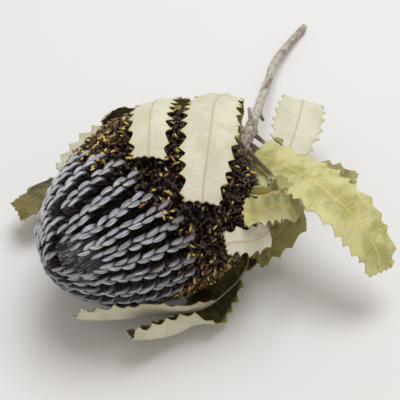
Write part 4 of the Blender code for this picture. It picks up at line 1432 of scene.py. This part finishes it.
        blade = np.clip((u - self.stalk) / (1 - self.stalk), 0, 1)
        first, last = self.fold_between
        bent = ease((blade - first) / (last - first))
        folds = [np.where(left, self.left_fold[k], self.right_fold[k]) for k in (0, 1)]
        fold = np.radians(folds[0] + (folds[1] - folds[0]) * bent)
        least_roll = 0.001
        roll = np.radians(np.where(left, self.left_roll * bent, 0.0)) + least_roll
        turned = fold + roll * np.abs(v)
        sideways = (np.sin(turned) - np.sin(fold)) / roll * np.sign(v)
        lift = (np.cos(fold) - np.cos(turned)) / roll
        phase = draw.uniform(0, 2 * math.pi, 2)
        ripples = [np.sin(u * length / pace + at) for pace, at in zip(self.wave_paces, phase)]
        ripple = np.where(left, *ripples)
        ripple = ripple * self.wave * np.abs(v) ** 2.5 * np.clip(width / 6, 0, 1)
        flick = (teeth[:, None] - 0.4) * 0.25 * np.abs(v) ** 4

        point = read_table(u, samples, midrib)
        across_way = unit(read_table(u, samples, right))
        up_way = unit(read_table(u, samples, upper))
        centre = point + (width * sideways)[..., None] * across_way
        centre = centre + (width * lift + ripple + flick)[..., None] * up_way
        normal = self.blade_normal(centre, up_way)
        across = v * width
        thick = self.thickness + self.stalk_swelling * (1 - ease(u / max(self.stalk, 0.08)))
        thin_edge = 1 - 0.45 * np.abs(v) ** 6
        rib = np.exp(-((across / 0.65) ** 2)) * (1.0 - 0.6 * u)
        top = centre + (0.5 * thick * thin_edge - 0.12 * rib)[..., None] * normal
        bottom = centre - (0.5 * thick * thin_edge + 0.45 * rib)[..., None] * normal

        rows, columns = v.shape
        ring = np.concatenate([top, bottom[:, ::-1]], axis=1)
        places = np.stack([u * length, across], axis=-1)
        sides = np.concatenate([np.zeros((rows, columns)), np.ones((rows, columns))], axis=1)
        places = np.concatenate([places, places[:, ::-1]], axis=1)
        share = np.concatenate([np.abs(v), np.abs(v)[:, ::-1]], axis=1)
        marks = {
            "blade": np.concatenate([places, sides[..., None]], axis=-1).reshape(-1, 3),
            "margin": share.reshape(-1),
            "stalk": np.tile(1 - ease((u - self.stalk + 0.05) / self.stalk_fade), 2).reshape(-1),
        }
        return Shape(ring.reshape(-1, 3), self.skin_faces(rows, columns), marks)

    @staticmethod
    def blade_normal(centre: Array, up_way: Array) -> Array:
        """The way out of the upper side: across the two ways along the grid."""
        lengthwise = np.gradient(centre, axis=0)
        crosswise = np.gradient(centre, axis=1)
        normal = np.cross(crosswise, lengthwise)
        size = np.linalg.norm(normal, axis=-1, keepdims=True)
        return np.where(size > 1e-6, normal / np.maximum(size, 1e-6), up_way)

    @staticmethod
    def skin_faces(rows: int, columns: int) -> list[Array]:
        """Faces round every row of a skin of two sides, with a strip across each end."""
        around = 2 * columns
        k = np.arange(around)
        after = (k + 1) % around
        level = around * np.arange(rows - 1)[:, None]
        below = level + around
        skin = np.stack([level + k, level + after, below + after, below + k], axis=-1)
        j = np.arange(columns - 1)
        mirror = around - 1 - j
        strip = np.stack([j, j + 1, mirror - 1, mirror], axis=-1)
        return [skin.reshape(-1, 4), strip[:, ::-1], strip + around * (rows - 1)]

    def build(self, stem: Stem, materials: dict, draw: np.random.Generator) -> None:
        """Makes the leaf."""
        shape = self.surface(stem, draw).on_the_floor()
        make_piece(self.name + "_blade", shape, materials[self.tone], self.name)


def whorl() -> list[ToothedLeaf]:
    """The seventeen leaves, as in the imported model."""
    pale, yellow = LeafTone.PALE, LeafTone.YELLOW_GREEN
    olive, dry = LeafTone.OLIVE, LeafTone.DRY_OLIVE
    return [
        ToothedLeaf(
            "leaf_over_head_tip_side", 8, 62,
            [(53, 18, 39), (46, 27, 46), (33, 28.5, 55.5), (19, 20, 68.6), (6, 8, 76.8), (-3, -2, 77.8),
             (-10, -10, 76)],
            [(-0.6, -0.6, 0.2), (-0.5, -0.8, -0.3), (-0.3, -0.7, -0.7), (-0.1, -0.25, -1.0),
             (0.15, 0.3, -1.0)],
            8.7, pale, left_fold=(8, 4), right_fold=(8, 4), end=0.75,
        ),
        ToothedLeaf(
            "leaf_over_head_stem_side", 6, 10,
            [(57, 12, 47), (53, 14, 56), (43, 8, 65.5), (31, 0, 72.5), (17, -13, 76), (7, -22, 73.5),
             (-1, -29, 68.5), (-4, -32, 65.5)],
            [(-1.0, -0.3, 0.2), (-0.8, -0.5, -0.4), (-0.5, -0.4, -0.9), (-0.1, 0.2, -1.0), (0.0, 0.6, -0.8)],
            11.2, pale, left_fold=(6, 2), right_fold=(6, 2), end=0.7,
        ),
        ToothedLeaf(
            "leaf_long_right", 6, 290,
            [(51.1, -14.1, 41), (50.3, -24.5, 44), (49.6, -39.8, 46.5), (49.5, -47.3, 46), (50.5, -53.5, 44),
             (51.8, -59.6, 40), (52.8, -65.3, 34.5), (53.6, -70.2, 29), (52.2, -74.9, 21.5)],
            [(-0.2, -0.3, 1.0), (-0.25, -0.2, 1.0), (-0.25, -0.3, 1.0), (-0.2, -0.45, 1.0)],
            12.0, yellow, left_fold=(-12, -8), right_fold=(0, 4), stalk=0.03, end=0.5, swell=0.1,
            right_lobe=0.45,
        ),
        ToothedLeaf(
            "leaf_behind_stem", 23, 260,
            [(67, 0, 28), (71, -4, 28), (81, 1, 29), (94, 10, 29), (102, 16, 27)],
            [(0.1, 0.2, -1.0), (0.2, 0.3, -1.0)],
            12.0, pale, end=0.85, swell=0.5,
        ),
        ToothedLeaf(
            "leaf_low_right", 20, 215,
            [(70.9, -3.7, 18), (81.5, -9.5, 13), (89.3, -18, 11), (94.7, -26.6, 10)],
            [(0.0, 0.0, 1.0)],
            7.0, dry, left_fold=(15, 25), right_fold=(10, 20), end=0.6,
        ),
        ToothedLeaf(
            "leaf_front_olive", 14, 250,
            [(48.5, -24.8, 30), (47, -30.1, 25), (44.2, -31, 20.5), (39.4, -30.3, 16), (33.7, -29.3, 12.5),
             (27.3, -28.3, 9.5)],
            [(0.0, -0.3, 1.0)],
            8.5, dry, left_fold=(5, 5), right_fold=(10, 15), stalk=0.5, end=0.8, swell=0.5,
        ),
        ToothedLeaf(
            "leaf_front_pale", 4, 265,
            [(44, -18.5, 33), (25, -38, 37.2), (16, -42, 41.2), (10, -43, 44.5), (4, -42, 48), (-2, -42, 51)],
            [(-0.3, 0.5, -0.6), (0.0, 0.9, -0.5), (0.0, 0.8, -0.6)],
            6.5, pale, stalk=0.58, end=0.7, swell=0.6,
        ),
        ToothedLeaf(
            "leaf_front_yellow", 10, 262,
            [(43.7, -32.1, 34), (33, -34.4, 41.5), (22.3, -38, 49.5), (15.3, -38.5, 53), (10.9, -37.2, 54.5)],
            [(0.0, -0.4, 1.0), (0.0, -0.7, 0.75), (0.0, -0.7, 0.75)],
            7.2, yellow, left_fold=(5, 15), right_fold=(5, 15), stalk=0.3, end=0.8, swell=0.6,
        ),
        ToothedLeaf(
            "leaf_front_curled", 7, 310,
            [(37, -31, 48), (26, -37, 55.5), (20, -38, 58.5), (17, -35, 58.5)],
            [(0.0, 0.2, 1.0), (0.0, -0.5, 0.8)],
            5.5, dry, left_fold=(30, 60), right_fold=(20, 60), stalk=0.45, end=0.7, swell=0.4,
            stalk_half_width=0.55,
        ),
        # This leaf's dark stalk colour fades far onto its blade, a painted shade where the blade runs under
        # the head.
        ToothedLeaf(
            "leaf_under_front", 3, 222,
            [(41, -11, 25), (34, -19.5, 18.5), (20, -32, 12.6), (3, -35.5, 11), (-11, -35, 13),
             (-26, -27, 15.5), (-37, -21, 16.8), (-48, -15, 20), (-51, -13, 22)],
            [(-0.3, 0.7, 0.6), (0.05, 0.7, 0.7), (0.2, 0.7, 0.7)],
            11.0, pale, left_fold=(15, 42), right_fold=(12, 12), stalk=0.5, end=0.5, swell=0.6,
            stalk_fade=0.3,
        ),
        ToothedLeaf(
            "leaf_floor_front", 9, 228,
            [(45, -13, 20), (37, -19.5, 10.5), (29, -25, 5.5), (20, -21, 3.8), (9, -27, 3.4), (-1, -31, 3.4),
             (-9.6, -34.8, 5), (-19.3, -35.9, 7.5), (-29.6, -34.5, 11.5), (-39.2, -31.6, 16.5)],
            [(0.0, 0.0, 1.0), (0.0, 0.1, 1.0), (0.0, 0.2, 1.0)],
            11.5, olive, left_fold=(-4, 62), right_fold=(-12, 5), left_roll=50, stalk=0.3, end=0.5,
            swell=0.6, fold_between=(0.55, 0.76),
        ),
        ToothedLeaf(
            "leaf_past_tip", 11, 140,
            [(49, 30, 17), (32, 50, 11), (10, 56, 11), (-8, 54, 15), (-17, 56, 16), (-28, 54, 17),
             (-34, 55, 16)],
            [(0.0, 0.0, 1.0), (0.0, -0.1, 1.0)],
            11.5, olive, left_fold=(5, 0), right_fold=(10, -25), end=0.7,
        ),
        ToothedLeaf(
            "leaf_behind_pale", 6, 112,
            [(52, 24, 28), (40, 42, 26), (21.4, 50.4, 30), (8.1, 51.5, 31), (-5.2, 47.7, 32),
             (-14.6, 43.7, 32)],
            [(0.0, 0.5, -0.8)],
            8.5, pale, end=0.6,
        ),
        ToothedLeaf(
            "leaf_behind_dark", 13, 92,
            [(58, 26, 34), (49, 38, 37), (33, 43, 41), (20, 42.5, 47.5), (9.8, 40.8, 54.5), (4.5, 40.1, 53)],
            [(-0.6, -0.6, 0.0), (0.0, -0.9, -0.4)],
            8.0, olive, left_fold=(5, 10), right_fold=(10, 20), end=0.6,
        ),
        ToothedLeaf(
            "leaf_floor_behind", 16, 130,
            [(64, 28, 22), (60, 46, 8), (50, 60, 2), (38, 69, 1.2), (26, 72, 2)],
            [(0.0, 0.0, 1.0)],
            8.0, yellow, left_fold=(10, 15), right_fold=(10, 20), end=0.6,
        ),
        ToothedLeaf(
            "leaf_floor_right", 20, 170,
            [(68, 12, 18), (77, -2, 7), (84, -14, 2), (86, -28, 1.2), (84, -42, 3)],
            [(0.0, 0.0, 1.0)],
            8.0, yellow, left_fold=(5, 15), right_fold=(5, 25), end=0.6,
        ),
        ToothedLeaf(
            "leaf_under_behind", 4, 165,
            [(47, 10, 20), (40, 26, 7), (26, 38, 2), (8, 44, 1.0), (-12, 42, 1.2), (-28, 36, 3)],
            [(0.0, 0.0, 1.0)],
            9.0, olive, left_fold=(0, 5), right_fold=(5, 20), end=0.6,
        ),
    ]


@dataclass
class Studio:
    """The pale floor, the soft light and the camera at the photograph's angle.

    Lengths are in metres. The camera looks at its target from an azimuth and an elevation.
    """

    target: tuple = (0.04004, 0.01885, 0.0)
    azimuth: float = math.radians(-41.5)
    elevation: float = math.radians(45.0)
    distance: float = 0.414
    view_angle: float = math.radians(25.0)
    floor_size: float = 60.0
    key_way: tuple = (0.28, 0.08, 1.0)
    key_distance: float = 1.2
    key_size: float = 0.7
    key_power: float = 9.8
    key_colour: tuple = (0.93, 0.96, 1.0)
    sky_colour: tuple = paint(255, 248, 238)
    sky_strength: float = 0.54
    floor_colour: tuple = paint(226, 225, 225)
    floor_roughness: float = 0.9

    def build(self) -> None:
        """Makes the floor, the light, the sky and the camera."""
        scene = bpy.context.scene
        scene.view_settings.view_transform = "Standard"
        self.floor()
        sky = bpy.data.worlds.new("sky")
        sky.use_nodes = True
        background = sky.node_tree.nodes["Background"]
        background.inputs["Color"].default_value = self.sky_colour
        background.inputs["Strength"].default_value = self.sky_strength
        scene.world = sky
        self.key_light()
        camera = bpy.data.cameras.new("camera")
        camera.angle = self.view_angle
        level = math.cos(self.elevation)
        back = Vector((
            math.sin(self.azimuth) * level, -math.cos(self.azimuth) * level, math.sin(self.elevation)
        ))
        holder = bpy.data.objects.new("camera", camera)
        holder.location = Vector(self.target) + self.distance * back
        holder.rotation_euler = (-back).to_track_quat("-Z", "Y").to_euler()
        scene.collection.objects.link(holder)
        scene.camera = holder

    def key_light(self) -> None:
        """A square soft light that looks at the head from a way off."""
        lamp = bpy.data.lights.new("key", "AREA")
        lamp.energy = self.key_power
        lamp.size = self.key_size
        lamp.color = self.key_colour
        holder = bpy.data.objects.new("key", lamp)
        towards = Vector(self.key_way).normalized()
        holder.location = self.key_distance * towards
        holder.rotation_euler = (-towards).to_track_quat("-Z", "Y").to_euler()
        bpy.context.scene.collection.objects.link(holder)

    def floor(self) -> None:
        """A wide pale floor at height zero."""
        half = self.floor_size / 2
        mesh = bpy.data.meshes.new("floor")
        corners = [(-half, -half, 0.0), (half, -half, 0.0), (half, half, 0.0), (-half, half, 0.0)]
        mesh.from_pydata(corners, [], [(0, 1, 2, 3)])
        material = bpy.data.materials.new("floor")
        material.use_nodes = True
        shader = material.node_tree.nodes["Principled BSDF"]
        shader.inputs["Base Color"].default_value = self.floor_colour
        shader.inputs["Roughness"].default_value = self.floor_roughness
        mesh.materials.append(material)
        floor = bpy.data.objects.new("floor", mesh)
        bpy.context.scene.collection.objects.link(floor)


def main() -> None:
    """Builds the studio, the head, the stem and the leaves."""
    logging.basicConfig(level=logging.INFO, format="%(name)s: %(message)s")
    draw = np.random.default_rng(SEED)
    effects = Effects()
    head = HeadForm()
    stem = Stem()
    Studio().build()
    GreyFlorets(head).build(effects, draw)
    OpenFlorets(head).build(effects, draw)
    stem.build(effects, draw)
    materials = {tone: tone.value.material(effects) for tone in LeafTone}
    for leaf in whorl():
        leaf.build(stem, materials, draw)


if __name__ == "__main__":
    main()
